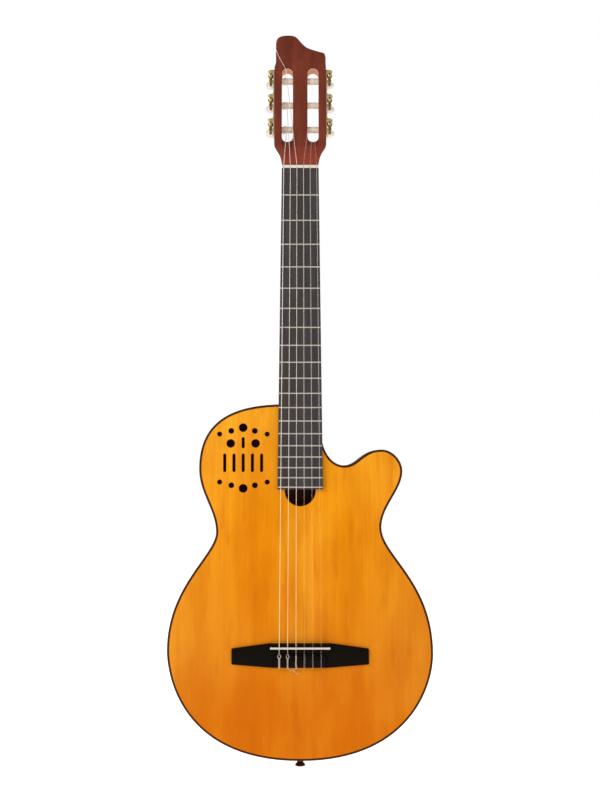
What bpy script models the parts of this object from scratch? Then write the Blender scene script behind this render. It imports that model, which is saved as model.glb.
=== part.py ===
"""A nylon-string cutaway guitar with a slotted headstock, built from its real pieces.

X runs to the treble side, Y from the front of the guitar to its back, Z up to the headstock.
The origin is on the centre line, at the nut's edge and on the plane of the soundboard's face:
a hanger's two arms pass there, either side of the neck. Lengths are in metres.
"""
import math

import bmesh
import bpy
from mathutils import Matrix, Vector
from mathutils.geometry import interpolate_bezier

mm = 0.001

# Clearances
glue_gap = 0.3 * mm
running_gap = 0.3 * mm
string_gap = 0.3 * mm

# Strings, from the first (treble side) to the sixth (bass side)
scale_length = 650 * mm
saddle_setback = 1.5 * mm
string_diameters = [0.71 * mm, 0.82 * mm, 1.02 * mm, 0.76 * mm, 0.89 * mm, 1.09 * mm]
string_span_nut = 44.6 * mm
string_span_saddle = 57 * mm
string_height_nut = 2.3 * mm
string_height_saddle = 13.6 * mm
winding_turns = 2.5
winding_points = 12
winding_pitch = 1.7 * mm
winding_offset = 0.7 * mm

# Fingerboard and frets
fingerboard_thickness = 6 * mm
fingerboard_width_nut = 50 * mm
fingerboard_width_end = 62 * mm
fingerboard_overhang = 3 * mm
fret_count = 19
fret_width = 2.2 * mm
fret_height = 1.0 * mm
fret_tang_width = 0.6 * mm
fret_tang_depth = 1.6 * mm
fret_end_inset = 0.5 * mm

# Nut and saddle
nut_thickness = 4 * mm
nut_slot_depth = 0.8 * mm
saddle_length = 82 * mm
saddle_thickness = 2.6 * mm
saddle_seat = 4.4 * mm

# Body; its top stands a little above the twelfth fret, and places on it are drops below its top
body_top_rise = 4.5 * mm
body_depth = 72 * mm
soundboard_thickness = 3 * mm
back_thickness = 3 * mm
rim_thickness = 7 * mm
binding_width = 3 * mm
binding_height = 6 * mm
outline_steps = 8

# Outline anchors from the bass side of the neck round to the treble side: place across, drop
# below the body's top, heading in degrees, and how far the curve leans on it before and after
outline_anchors = [
    (-29.0 * mm, 0.0 * mm, 178, 1.0 * mm, 47.5 * mm),
    (-137.5 * mm, 87.5 * mm, 90, 75.0 * mm, 34.5 * mm),
    (-114.5 * mm, 174.0 * mm, 90, 30.5 * mm, 30.5 * mm),
    (-181.5 * mm, 335.5 * mm, 90, 88.0 * mm, 32.5 * mm),
    (0.0 * mm, 485.5 * mm, 0, 163.0 * mm, 147.5 * mm),
    (181.0 * mm, 340.0 * mm, -90, 45.5 * mm, 99.0 * mm),
    (110.5 * mm, 167.5 * mm, -90, 37.5 * mm, 29.0 * mm),
    (139.0 * mm, 90.5 * mm, -90, 26.5 * mm, 12.5 * mm),
    (110.0 * mm, 61.5 * mm, 179, 17.0 * mm, 24.5 * mm),
    (62.5 * mm, 83.0 * mm, 176, 16.0 * mm, 25.0 * mm),
    (29.0 * mm, 43.0 * mm, 270, 10.5 * mm, 1.0 * mm),
]

# Sound holes in the soundboard
moon_radius = 21 * mm
moon_depth = 23 * mm
moon_tuck = 2 * mm
port_columns = [-109.6 * mm, -93.8 * mm, -77.6 * mm, -61.7 * mm, -44.9 * mm]
port_upper_drops = [40.5 * mm, 36.1 * mm, 31.7 * mm, 36.1 * mm, 40.5 * mm]
port_lower_drops = [105.7 * mm, 110.1 * mm, 114.3 * mm, 110.1 * mm, 105.7 * mm]
port_diameters = [6.2 * mm, 7.5 * mm, 11.5 * mm, 7.5 * mm, 6.2 * mm]
port_pair_columns = [-94.6 * mm, -60.7 * mm]
port_pair_drop = 53.1 * mm
port_pair_diameter = 11.5 * mm
short_slot_drop = 52.1 * mm
short_slot_length = 15 * mm
port_slot_pitch = 12.55 * mm
port_slot_drop = 79.5 * mm
port_slot_length = 25 * mm
port_slot_width = 3.8 * mm
port_slot_count = 5
port_sides = 10

# Bridge: a low base with a saddle block and a tie block raised on it
bridge_length = 187 * mm
bridge_middle_length = 85 * mm
bridge_tail_length = 74.5 * mm
bridge_top_rise = 6 * mm
bridge_width = 33.3 * mm
bridge_wing_drop = 7.3 * mm
bridge_wing_width = 21.3 * mm
bridge_shoulder_reach = 68 * mm
bridge_shoulder_drop = 3.5 * mm
bridge_corner = 2 * mm
bridge_base_height = 3.6 * mm
saddle_block_height = 9 * mm
saddle_block_width = 9 * mm
tie_block_height = 8.4 * mm
tie_block_start = 10 * mm
tie_block_width = 16 * mm
tie_hole_diameter = 2.6 * mm
tie_hole_height = 5.1 * mm
block_end_slope = 7 * mm

# Neck
neck_side_inset = 0.3 * mm
neck_depth_nut = 15.5 * mm
neck_depth_heel = 18.5 * mm
neck_fullness_nut = 7
neck_fullness = 2.4
heel_fullness = 1.5
heel_length = 52.2 * mm
heel_steps = 6
section_points = 14

# Between the nut and the slim shaft the neck goes from square to round: drop, depth, fullness
neck_blend = [(4 * mm, 17.5 * mm, 5), (14 * mm, 16.2 * mm, 3.2), (30 * mm, 15.5 * mm, 2.5)]

# Headstock, measured along and square to its own tilted face
head_tilt = math.radians(14)
head_length = 192.5 * mm
head_thickness = 18.5 * mm
veneer_thickness = 2 * mm
head_half_width = 35.5 * mm
head_neck_half_width = 24.6 * mm
slot_width = 15.3 * mm
slot_centre = 17.6 * mm
slot_below_rollers = 21.5 * mm
slot_above_rollers = 16.1 * mm
slot_ramp = 9 * mm
slot_ramp_depth = 7 * mm

# Tuning machines
roller_first_height = 56.2 * mm
roller_spacing = 36.1 * mm
roller_diameter = 9 * mm
roller_journal = 5.5 * mm
roller_inner_end = 3.5 * mm
gear_seat_step = 0.8 * mm
roller_sides = 12
plate_thickness = 1.2 * mm
plate_below_rollers = 12.3 * mm
plate_above_rollers = 15.4 * mm
plate_half_height = 6.5 * mm
gear_teeth = 14
gear_module = 0.8 * mm
gear_thickness = 3.4 * mm
gear_tip_height = 0.5 * mm
gear_root_depth = 0.75 * mm
worm_radius = 2.7 * mm
worm_tip_height = 0.5 * mm
worm_root_depth = 0.7 * mm
worm_turns = 3
worm_steps = 10
worm_clearance = 0.1 * mm
worm_length = 9.4 * mm
key_journal = 3 * mm
ear_thickness = 1.4 * mm
ear_wall = 1.2 * mm
ear_top = 5.4 * mm
ear_end_wall = 0.7 * mm
button_clearance = 10 * mm
button_length = 19 * mm
button_width = 14.8 * mm
button_thickness = 10 * mm

# Blocks and braces inside the body
neck_block_length = 44 * mm
tail_block_length = 16 * mm
tail_block_half_width = 30 * mm
brace_height = 9 * mm
brace_width = 6 * mm
cross_strut_height = 7.2 * mm
fan_strut_height = 5.4 * mm
harmonic_brace_drop = 171.5 * mm
harmonic_brace_reach = 96 * mm
fan_brace_low = 441.5 * mm
fan_brace_count = 5
fan_spread_high = 34 * mm
fan_spread_low = 62 * mm
cross_brace_drop = 379.5 * mm

# End button
end_button_length = 12.5 * mm
end_button_radius = 7 * mm
end_button_waist = 4.5 * mm
end_button_peg = 3.6 * mm
end_button_peg_length = 18 * mm


# Values that follow from the sizes above
saddle_drop = scale_length + saddle_setback
body_top = scale_length / 2 - body_top_rise
heel_start = body_top - heel_length
last_fret_drop = scale_length * (1 - 2 ** (-fret_count / 12))
fingerboard_length = last_fret_drop + fingerboard_overhang
string_spread = [0.5, 0.3, 0.1, -0.1, -0.3, -0.5]
string_height_over_glue = fingerboard_thickness + string_height_nut
roller_depth = (head_thickness - veneer_thickness) / 2
roller_heights = [roller_first_height + level * roller_spacing for level in range(3)]
slot_low = roller_heights[0] - slot_below_rollers
slot_high = roller_heights[-1] + slot_above_rollers
plate_low = roller_heights[0] - plate_below_rollers
plate_high = roller_heights[-1] + plate_above_rollers
gear_radius = gear_module * gear_teeth / 2
worm_lead = math.pi * gear_module
worm_distance = gear_radius + worm_radius + worm_clearance
worm_tip = worm_radius + worm_tip_height
worm_root = worm_radius - worm_root_depth
plate_outer = head_half_width + glue_gap + plate_thickness
gear_middle = plate_outer + running_gap + worm_tip
button_start = head_thickness - roller_depth + button_clearance
seat_radius = roller_journal / 2 - gear_seat_step


def colour(red, green, blue):
    """Linear colour from screen values of 0 to 255."""
    return tuple((value / 255) ** 2.2 for value in (red, green, blue)) + (1.0,)


def make_material(name, base, roughness, metallic=0.0):
    material = bpy.data.materials.new(name)
    material.use_nodes = True
    shader = material.node_tree.nodes["Principled BSDF"]
    shader.inputs["Base Color"].default_value = base
    shader.inputs["Roughness"].default_value = roughness
    shader.inputs["Metallic"].default_value = metallic
    material.diffuse_color = base
    return material


def empty_scene():
    for thing in list(bpy.data.objects):
        bpy.data.objects.remove(thing, do_unlink=True)


def make_collection(name):
    collection = bpy.data.collections.new(name)
    bpy.context.scene.collection.children.link(collection)
    return collection


empty_scene()
guitar = make_collection("guitar")
cutters = make_collection("cutters")

cedar = make_material("amber_top", colour(242, 160, 48), 0.3)
mahogany = make_material("mahogany", colour(115, 48, 35), 0.4)
rosewood = make_material("dark_rosewood", colour(58, 52, 50), 0.5)
ebony = make_material("black_bridge_wood", colour(20, 14, 10), 0.35)
dark_trim = make_material("dark_trim", colour(60, 25, 10), 0.35)
spruce = make_material("inner_spruce", colour(205, 170, 120), 0.7)
bone = make_material("bone", colour(245, 236, 214), 0.35)
fret_wire = make_material("fret_wire", colour(200, 185, 150), 0.25, 1.0)
brass = make_material("gilt_brass", colour(190, 150, 80), 0.28, 1.0)
pearl = make_material("pearl", colour(225, 215, 205), 0.2)
nylon = make_material("clear_nylon", colour(225, 205, 185), 0.25)
wound_wire = make_material("wound_wire", colour(190, 175, 150), 0.35, 0.8)


def add_object(name, mesh, material=None, parent=None, cutter=False):
    thing = bpy.data.objects.new(name, mesh)
    if cutter:
        cutters.objects.link(thing)
        thing.hide_render = True
        thing.display_type = "WIRE"
    else:
        guitar.objects.link(thing)
        mesh.materials.clear()
        mesh.materials.append(material)
    thing.parent = parent
    return thing


def add_empty(name, location, parent=None):
    thing = bpy.data.objects.new(name, None)
    guitar.objects.link(thing)
    thing.location = location
    thing.parent = parent
    return thing


def mesh_from(bm, name):
    bmesh.ops.recalc_face_normals(bm, faces=bm.faces)
    mesh = bpy.data.meshes.new(name)
    bm.to_mesh(mesh)
    bm.free()
    return mesh


def smooth(thing, degrees=35):
    thing.data.shade_smooth()
    thing.data.set_sharp_from_angle(angle=math.radians(degrees))
    return thing


def curve_to_mesh(curve, turn, name):
    """The curve's solid as a mesh, turned, with its loose caps welded on."""
    helper = bpy.data.objects.new(name, curve)
    bpy.context.scene.collection.objects.link(helper)
    bpy.context.view_layer.update()
    graph = bpy.context.evaluated_depsgraph_get()
    mesh = bpy.data.meshes.new_from_object(helper.evaluated_get(graph))
    bpy.data.objects.remove(helper, do_unlink=True)
    bpy.data.curves.remove(curve)
    bm = bmesh.new()
    bm.from_mesh(mesh)
    bpy.data.meshes.remove(mesh)
    bm.transform(turn)
    bmesh.ops.remove_doubles(bm, verts=bm.verts, dist=0.00001)
    return mesh_from(bm, name)


def add_loop(curve, points):
    spline = curve.splines.new("POLY")
    spline.points.add(len(points) - 1)
    for point, (across, up) in zip(spline.points, points):
        point.co = (across, up, 0, 1)
    spline.use_cyclic_u = True


def plate_mesh(name, loops, low, high):
    """A flat plate: loops of (x, z) points, from y = low to y = high. Inner loops are holes."""
    curve = bpy.data.curves.new(name, "CURVE")
    curve.dimensions = "2D"
    curve.fill_mode = "BOTH"
    curve.extrude = (high - low) / 2
    for loop in loops:
        add_loop(curve, loop)
    turn = Matrix.Translation((0, (low + high) / 2, 0)) @ Matrix.Rotation(math.pi / 2, 4, "X")
    return curve_to_mesh(curve, turn, name)


def box_mesh(name, low, high):
    size = [h - l for l, h in zip(low, high)]
    middle = [(h + l) / 2 for l, h in zip(low, high)]
    bm = bmesh.new()
    bmesh.ops.create_cube(bm, size=1.0)
    bm.transform(Matrix.Translation(middle) @ Matrix.Diagonal((*size, 1)))
    return mesh_from(bm, name)


def turned_mesh(name, profile, steps):
    """A solid turned about Z from (radius, height) pairs that start and end on the axis."""
    bm = bmesh.new()
    line = [bm.verts.new((radius, 0, height)) for radius, height in profile]
    edges = [bm.edges.new(pair) for pair in zip(line, line[1:])]
    bmesh.ops.spin(bm, geom=line + edges, cent=(0, 0, 0), axis=(0, 0, 1), dvec=(0, 0, 0),
                   angle=2 * math.pi, steps=steps, use_merge=True)
    bmesh.ops.remove_doubles(bm, verts=bm.verts, dist=0.000001)
    return mesh_from(bm, name)


def tube_mesh(name, points, radius, resolution=1):
    curve = bpy.data.curves.new(name, "CURVE")
    curve.dimensions = "3D"
    curve.bevel_depth = radius
    curve.bevel_resolution = resolution
    curve.use_fill_caps = True
    spline = curve.splines.new("POLY")
    spline.points.add(len(points) - 1)
    for point, place in zip(spline.points, points):
        point.co = (*place, 1)
    return curve_to_mesh(curve, Matrix.Identity(4), name)


def combine(thing, tool, operation="DIFFERENCE"):
    modifier = thing.modifiers.new(tool.name, "BOOLEAN")
    modifier.object = tool
    modifier.operation = operation
    modifier.solver = "EXACT"


def circle(across, drop, diameter, sides):
    """A round hole as (x, z) points; drop is how far below the origin its centre is."""
    step = 2 * math.pi / sides
    return [(across + diameter / 2 * math.cos(step * i), -drop + diameter / 2 * math.sin(step * i))
            for i in range(sides)]


def long_hole(across, drop, length, width, upright, end_sides=4):
    """A slot with round ends, as (x, z) points."""
    reach = (length - width) / 2
    points = []
    for end in (0, 1):
        for i in range(end_sides + 1):
            angle = math.pi * (end + i / end_sides)
            along = reach if end == 0 else -reach
            x = width / 2 * math.cos(angle)
            z = along + width / 2 * math.sin(angle)
            points.append((across + x, -drop + z) if upright else (across + z, -drop - x))
    return points


def body_outline():
    """The body's outer edge as (x, z) points, from the bass side of the neck round the tail."""
    points = []
    for start, end in zip(outline_anchors, outline_anchors[1:]):
        here = Vector((start[0], -body_top - start[1]))
        there = Vector((end[0], -body_top - end[1]))
        out = Vector((math.cos(math.radians(start[2])), -math.sin(math.radians(start[2]))))
        into = Vector((math.cos(math.radians(end[2])), -math.sin(math.radians(end[2]))))
        curve = interpolate_bezier(here, here + out * start[4], there - into * end[3], there,
                                   outline_steps + 1)
        points += [tuple(point) for point in curve[:-1]]
    last = outline_anchors[-1]
    points.append((last[0], -body_top - last[1]))
    points.append((last[0], -body_top))
    return points


def inset(points, distance):
    """The closed outline moved inwards by a distance, with mitred corners."""
    moved = []
    count = len(points)
    for i, (x, z) in enumerate(points):
        before = (Vector((x, z)) - Vector(points[i - 1])).normalized()
        after = (Vector(points[(i + 1) % count]) - Vector((x, z))).normalized()
        normal = Vector((-before.y - after.y, before.x + after.x)).normalized()
        stretch = 1 / max(normal.dot(Vector((-before.y, before.x))), 0.5)
        shifted = Vector((x, z)) + normal * distance * stretch
        moved.append((shifted.x, shifted.y))
    return moved


outline = body_outline()


def fingerboard_half_width(drop):
    share = drop / fingerboard_length
    return (fingerboard_width_nut * (1 - share) + fingerboard_width_end * share) / 2


def string_place(number, drop):
    """Where a string's centre is at a drop below the nut."""
    share = drop / saddle_drop
    across = string_spread[number] * (string_span_nut * (1 - share) + string_span_saddle * share)
    rise = string_height_over_glue * (1 - share) + string_height_saddle * share
    return Vector((across, -rise, -drop))


# Body


def make_soundboard():
    loops = [inset(outline, binding_width + glue_gap)]
    moon_middle = fingerboard_length + moon_depth - moon_radius
    arc = [math.pi * i / 12 for i in range(13)]
    moon = [(moon_radius * math.cos(a), -moon_middle - moon_radius * math.sin(a)) for a in arc]
    moon_top = -fingerboard_length + moon_tuck
    loops.append([(moon_radius, moon_top)] + moon + [(-moon_radius, moon_top)])
    for across, upper, lower, size in zip(port_columns, port_upper_drops, port_lower_drops,
                                          port_diameters):
        loops.append(circle(across, body_top + upper, size, port_sides))
        loops.append(circle(across, body_top + lower, size, port_sides))
    for across in port_pair_columns:
        loops.append(circle(across, body_top + port_pair_drop, port_pair_diameter, port_sides))
    middle = port_columns[2]
    loops.append(long_hole(middle, body_top + short_slot_drop, short_slot_length,
                           port_slot_width, True))
    for i in range(port_slot_count):
        across = middle + (i - (port_slot_count - 1) / 2) * port_slot_pitch
        loops.append(long_hole(across, body_top + port_slot_drop, port_slot_length,
                               port_slot_width, True))
    mesh = plate_mesh("soundboard", loops, 0, soundboard_thickness)
    return add_object("soundboard", mesh, cedar)


def ring_mesh(name, section):
    """A solid that follows the body's outline, from (inset, y) points of its cross section."""
    bm = bmesh.new()
    rings = [[bm.verts.new((x, y, z)) for x, z in inset(outline, distance)]
             for distance, y in section]
    for near, far in zip(rings, rings[1:] + rings[:1]):
        for i, vertex in enumerate(near):
            bm.faces.new((near[i - 1], vertex, far[i], far[i - 1]))
    return mesh_from(bm, name)


def make_rim():
    """The sides with their linings: a wall, stepped in front for the binding and soundboard."""
    front = soundboard_thickness + glue_gap
    step = binding_height + glue_gap
    lip = binding_width + glue_gap
    back = body_depth - back_thickness - glue_gap
    section = [(0, step), (lip, step), (lip, front), (rim_thickness, front),
               (rim_thickness, back), (0, back)]
    rim = add_object("rim", ring_mesh("rim", section), mahogany)
    hole = turned_mesh("end_button_hole", [(0, 1), (end_button_peg + running_gap, 1),
                                           (end_button_peg + running_gap, -1), (0, -1)], 12)
    hole.transform(Matrix.Diagonal((1, 1, 2 * rim_thickness, 1)))
    cutter = add_object("end_button_hole", hole, cutter=True)
    cutter.location = (0, body_depth / 2, lowest_point() + rim_thickness / 2)
    combine(rim, cutter)
    return rim


def lowest_point():
    return min(z for x, z in outline)


def make_back():
    mesh = plate_mesh("back", [outline], body_depth - back_thickness, body_depth)
    return add_object("back", mesh, mahogany)


def make_binding():
    mesh = plate_mesh("top_binding", [outline, inset(outline, binding_width)], 0, binding_height)
    return add_object("top_binding", mesh, dark_trim)


def tail_curve(points, reach):
    """The lowest stretch of an outline, cut off square at a reach either side of the middle."""
    cut = []
    for (x, z), (next_x, next_z) in zip(points, points[1:]):
        if z > -2 * body_top or next_x <= x:
            continue
        ends = sorted({max(x, -reach), min(next_x, reach)})
        if ends[0] < next_x and ends[-1] > x and max(x, -reach) < min(next_x, reach):
            cut += [(place, z + (next_z - z) * (place - x) / (next_x - x)) for place in ends]
    return [point for i, point in enumerate(cut) if i == 0 or point[0] > cut[i - 1][0] + glue_gap]


def make_blocks():
    front = soundboard_thickness + glue_gap
    back = body_depth - back_thickness - glue_gap
    side = outline_anchors[-1][0] - rim_thickness - glue_gap
    top = -body_top - rim_thickness - glue_gap
    neck_block = box_mesh("neck_block", (-side, front, top - neck_block_length),
                          (side, back, top))
    add_object("neck_block", neck_block, mahogany)
    low = tail_curve(inset(outline, rim_thickness + glue_gap), tail_block_half_width)
    high = lowest_point() + rim_thickness + tail_block_length
    loop = low + [(tail_block_half_width, high), (-tail_block_half_width, high)]
    tail = add_object("tail_block", plate_mesh("tail_block", [loop], front, back), mahogany)
    radius = end_button_peg + running_gap
    hole = turned_mesh("tail_hole", [(0, tail_block_length), (radius, tail_block_length),
                                     (radius, -tail_block_length), (0, -tail_block_length)], 12)
    cutter = add_object("tail_hole", hole, cutter=True)
    cutter.location = (0, body_depth / 2, lowest_point() + rim_thickness + glue_gap)
    combine(tail, cutter)


def make_braces():
    """One harmonic bar, fan struts that run into it and a cross strut, glued into one frame."""
    front = soundboard_thickness + glue_gap
    reach = harmonic_brace_reach
    bar_height = -body_top - harmonic_brace_drop
    bar = box_mesh("brace_frame", (-reach, front, bar_height - brace_width / 2),
                   (reach, front + brace_height, bar_height + brace_width / 2))
    frame = add_object("brace_frame", bar, spruce)
    low_reach = fan_spread_low + brace_width
    cross_height = -body_top - cross_brace_drop
    cross = box_mesh("cross_strut", (-low_reach, front, cross_height - brace_width / 2),
                     (low_reach, front + cross_strut_height, cross_height + brace_width / 2))
    combine(frame, add_object("cross_strut", cross, cutter=True), "UNION")
    for i in range(fan_brace_count):
        share = i / (fan_brace_count - 1) * 2 - 1
        high = Vector((share * fan_spread_high, 0, bar_height))
        low = Vector((share * fan_spread_low, 0, -body_top - fan_brace_low))
        length = (high - low).length
        half = brace_width / 2
        strut = box_mesh("fan_strut_%d" % (i + 1), (-half, front, -length),
                         (half, front + fan_strut_height, 0))
        cutter = add_object("fan_strut_%d" % (i + 1), strut, cutter=True)
        cutter.location = high
        cutter.rotation_euler = (0, math.atan2(high.x - low.x, high.z - low.z), 0)
        combine(frame, cutter, "UNION")


def make_end_button():
    """A turned strap button; its peg goes through the rim into the tail block."""
    profile = [(0, end_button_peg_length), (end_button_peg, end_button_peg_length),
               (end_button_peg, -glue_gap), (end_button_radius, -glue_gap),
               (end_button_radius, -1.6 * mm), (end_button_waist, -3 * mm),
               (end_button_waist, -7.5 * mm), (end_button_radius, -9.5 * mm),
               (end_button_radius, -11.5 * mm), (end_button_radius - 1 * mm, -end_button_length),
               (0, -end_button_length)]
    mesh = turned_mesh("end_button", profile, 16)
    button = smooth(add_object("end_button", mesh, dark_trim))
    button.location = (0, body_depth / 2, lowest_point())


# Bridge and saddle


def make_bridge():
    top = -saddle_drop + bridge_top_rise
    half = bridge_length / 2
    middle = bridge_middle_length / 2
    tail = bridge_tail_length / 2
    wing = top - bridge_wing_drop
    treble_side = [(tail, top - bridge_width), (half, wing - bridge_wing_width),
                   (half, wing - bridge_corner), (half - bridge_corner, wing),
                   (bridge_shoulder_reach, top - bridge_shoulder_drop), (middle, top)]
    loop = [(-x, z) for x, z in treble_side[::-1]] + treble_side
    base = plate_mesh("bridge", [loop], -bridge_base_height, -glue_gap)
    bridge = add_object("bridge", base, ebony)
    saddle_block = block_mesh("saddle_block", middle - 1 * mm, saddle_block_height,
                              top - 0.8 * mm, top - 0.8 * mm - saddle_block_width)
    combine(bridge, add_object("saddle_block", saddle_block, cutter=True), "UNION")
    tie_top = -saddle_drop - tie_block_start
    tie_block = block_mesh("tie_block", tail - 1 * mm, tie_block_height, tie_top,
                           tie_top - tie_block_width)
    combine(bridge, add_object("tie_block", tie_block, cutter=True), "UNION")
    slot = box_mesh("saddle_slot", saddle_corner(-1, glue_gap), saddle_corner(1, glue_gap))
    combine(bridge, add_object("saddle_slot", slot, cutter=True))
    for number in range(6):
        radius = tie_hole_diameter / 2
        hole = turned_mesh("tie_hole_%d" % (number + 1), [(0, tie_block_width), (radius, tie_block_width),
                           (radius, -tie_block_width), (0, -tie_block_width)], 8)
        cutter = add_object("tie_hole_%d" % (number + 1), hole, cutter=True)
        across = string_place(number, saddle_drop).x
        cutter.location = (across, -tie_hole_height, tie_top - tie_block_width / 2)
        combine(bridge, cutter)


def block_mesh(name, half, height, high, low):
    """A raised block with sloping ends, from the bridge's base up to its height."""
    bm = bmesh.new()
    foot = -bridge_base_height / 2
    outline_points = [(-half, foot), (-half + block_end_slope * 0.2, -height * 0.75),
                      (-half + block_end_slope * 0.6, -height), (half - block_end_slope * 0.6, -height),
                      (half - block_end_slope * 0.2, -height * 0.75), (half, foot)]
    face = bm.faces.new([bm.verts.new((x, y, low)) for x, y in outline_points])
    grown = bmesh.ops.extrude_face_region(bm, geom=[face])
    moved = [item for item in grown["geom"] if isinstance(item, bmesh.types.BMVert)]
    bmesh.ops.translate(bm, verts=moved, vec=(0, 0, high - low))
    return mesh_from(bm, name)


def saddle_corner(side, margin):
    """The saddle's low corner for side -1 and its high corner for side 1, grown by a margin."""
    rise = string_height_saddle - max(string_diameters) / 2 - string_gap
    depth = rise if side < 0 else saddle_block_height - saddle_seat
    return (side * (saddle_length / 2 + margin), side * margin - depth,
            side * (saddle_thickness / 2 + margin) - saddle_drop)


def make_saddle():
    mesh = box_mesh("saddle", saddle_corner(-1, 0), saddle_corner(1, 0))
    saddle = add_object("saddle", mesh, bone)
    bevel = saddle.modifiers.new("rounded_edges", "BEVEL")
    bevel.width = 0.6 * mm
    bevel.segments = 1


# Neck, fingerboard, frets and nut


def neck_section(half_width, depth, fullness, height, top_shear):
    """Half-round section: flat at the front, as full at the back as the exponent says."""
    points = []
    for i in range(section_points + 1):
        angle = math.pi * i / section_points
        c = math.cos(angle)
        s = math.sin(angle)
        x = half_width * math.copysign(abs(c) ** (2 / fullness), c)
        y = depth * s ** (2 / fullness)
        points.append(Vector((x, glue_gap + y, height - y * top_shear)))
    return points


def neck_half_width(drop):
    """A little inside the fingerboard's edge, and never past the body's edge at the cutaway."""
    return min(fingerboard_half_width(drop) - neck_side_inset, outline_anchors[-1][0])


def make_neck():
    """A shaft that deepens slowly, and a heel that sweeps back to the body's full depth."""
    shear = math.tan(head_tilt)
    end = body_top - glue_gap
    sections = [neck_section(neck_half_width(0), head_thickness, neck_fullness_nut,
                             nut_thickness - glue_gap, shear)]
    for drop, depth, fullness in neck_blend:
        sections.append(neck_section(neck_half_width(drop), depth, fullness, -drop, 0))
    blend_end = neck_blend[-1][0]
    for share in (0.35, 0.7, 1.0):
        drop = blend_end + (heel_start - blend_end) * share
        depth = neck_depth_nut + (neck_depth_heel - neck_depth_nut) * share
        sections.append(neck_section(neck_half_width(drop), depth, neck_fullness, -drop, 0))
    heel_depth = body_depth - back_thickness - 2 * glue_gap
    for i in range(1, heel_steps + 1):
        angle = math.pi / 2 * i / heel_steps
        sweep = 1 - math.cos(angle)
        drop = heel_start + (end - heel_start) * math.sin(angle)
        depth = neck_depth_heel + (heel_depth - neck_depth_heel) * sweep ** 1.25
        fullness = neck_fullness + (heel_fullness - neck_fullness) * sweep
        sections.append(neck_section(neck_half_width(drop), depth, fullness, -drop, 0))
    bm = bmesh.new()
    rings = [[bm.verts.new(point) for point in section] for section in sections]
    for near, far in zip(rings, rings[1:]):
        for i in range(section_points):
            bm.faces.new((near[i], near[i + 1], far[i + 1], far[i]))
        bm.faces.new((near[-1], near[0], far[0], far[-1]))
    bm.faces.new(rings[0])
    bm.faces.new(rings[-1])
    bmesh.ops.triangulate(bm, faces=bm.faces)
    smooth(add_object("neck", mesh_from(bm, "neck"), mahogany), 40)


def fret_drop(number):
    return scale_length * (1 - 2 ** (-number / 12))


def make_fingerboard():
    half_end = fingerboard_width_end / 2
    half_nut = fingerboard_width_nut / 2
    loop = [(-half_nut, 0), (-half_end, -fingerboard_length), (half_end, -fingerboard_length),
            (half_nut, 0)]
    mesh = plate_mesh("fingerboard", [loop], -fingerboard_thickness, -glue_gap)
    board = add_object("fingerboard", mesh, rosewood)
    bm = bmesh.new()
    half_slot = fret_tang_width / 2 + running_gap
    for number in range(1, fret_count + 1):
        added = bmesh.ops.create_cube(bm, size=1.0)["verts"]
        low = -fingerboard_thickness - 1 * mm
        high = -fingerboard_thickness + fret_tang_depth + running_gap
        bmesh.ops.scale(bm, verts=added, vec=(2 * fingerboard_width_end, high - low, 2 * half_slot))
        bmesh.ops.translate(bm, verts=added, vec=(0, (low + high) / 2, -fret_drop(number)))
    cutter = add_object("fret_slots", mesh_from(bm, "fret_slots"), cutter=True)
    combine(board, cutter)


def make_frets():
    """Each fret has a rounded crown on the board and a tang down in its slot."""
    seat = -fingerboard_thickness - glue_gap
    half = fret_width / 2
    tang = fret_tang_width / 2
    crown = [(half, seat), (half * 0.72, seat - fret_height * 0.72), (0, seat - fret_height),
             (-half * 0.72, seat - fret_height * 0.72), (-half, seat)]
    foot = [(-tang, seat), (-tang, seat + glue_gap + fret_tang_depth),
            (tang, seat + glue_gap + fret_tang_depth), (tang, seat)]
    for number in range(1, fret_count + 1):
        drop = fret_drop(number)
        reach = fingerboard_half_width(drop) - fret_end_inset
        bm = bmesh.new()
        face = bm.faces.new([bm.verts.new((-reach, y, z)) for z, y in crown + foot])
        grown = bmesh.ops.extrude_face_region(bm, geom=[face])
        moved = [item for item in grown["geom"] if isinstance(item, bmesh.types.BMVert)]
        bmesh.ops.translate(bm, verts=moved, vec=(2 * reach, 0, 0))
        name = "fret_%02d" % number
        fret = add_object(name, mesh_from(bm, name), fret_wire)
        fret.location = (0, 0, -drop)


def make_nut():
    top = -string_height_over_glue + max(string_diameters) / 2 + string_gap
    half = fingerboard_width_nut / 2 - 0.3 * mm
    nut = add_object("nut", box_mesh("nut", (-half, top - nut_slot_depth, glue_gap),
                                     (half, 0, nut_thickness - glue_gap)), bone)
    bm = bmesh.new()
    for number in range(6):
        width = string_diameters[number] + 2 * string_gap
        added = bmesh.ops.create_cube(bm, size=1.0)["verts"]
        bmesh.ops.scale(bm, verts=added, vec=(width, 2 * nut_slot_depth, 3 * nut_thickness))
        across = string_place(number, 0).x
        bmesh.ops.translate(bm, verts=added, vec=(across, top - nut_slot_depth, nut_thickness / 2))
    combine(nut, add_object("nut_slots", mesh_from(bm, "nut_slots"), cutter=True))


# Headstock, in its own frame: Z along its face, Y into it, tilted back at the nut


def head_empty():
    empty = add_empty("head_frame", (0, 0, nut_thickness))
    empty.rotation_euler = (-head_tilt, 0, 0)
    return empty


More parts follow.
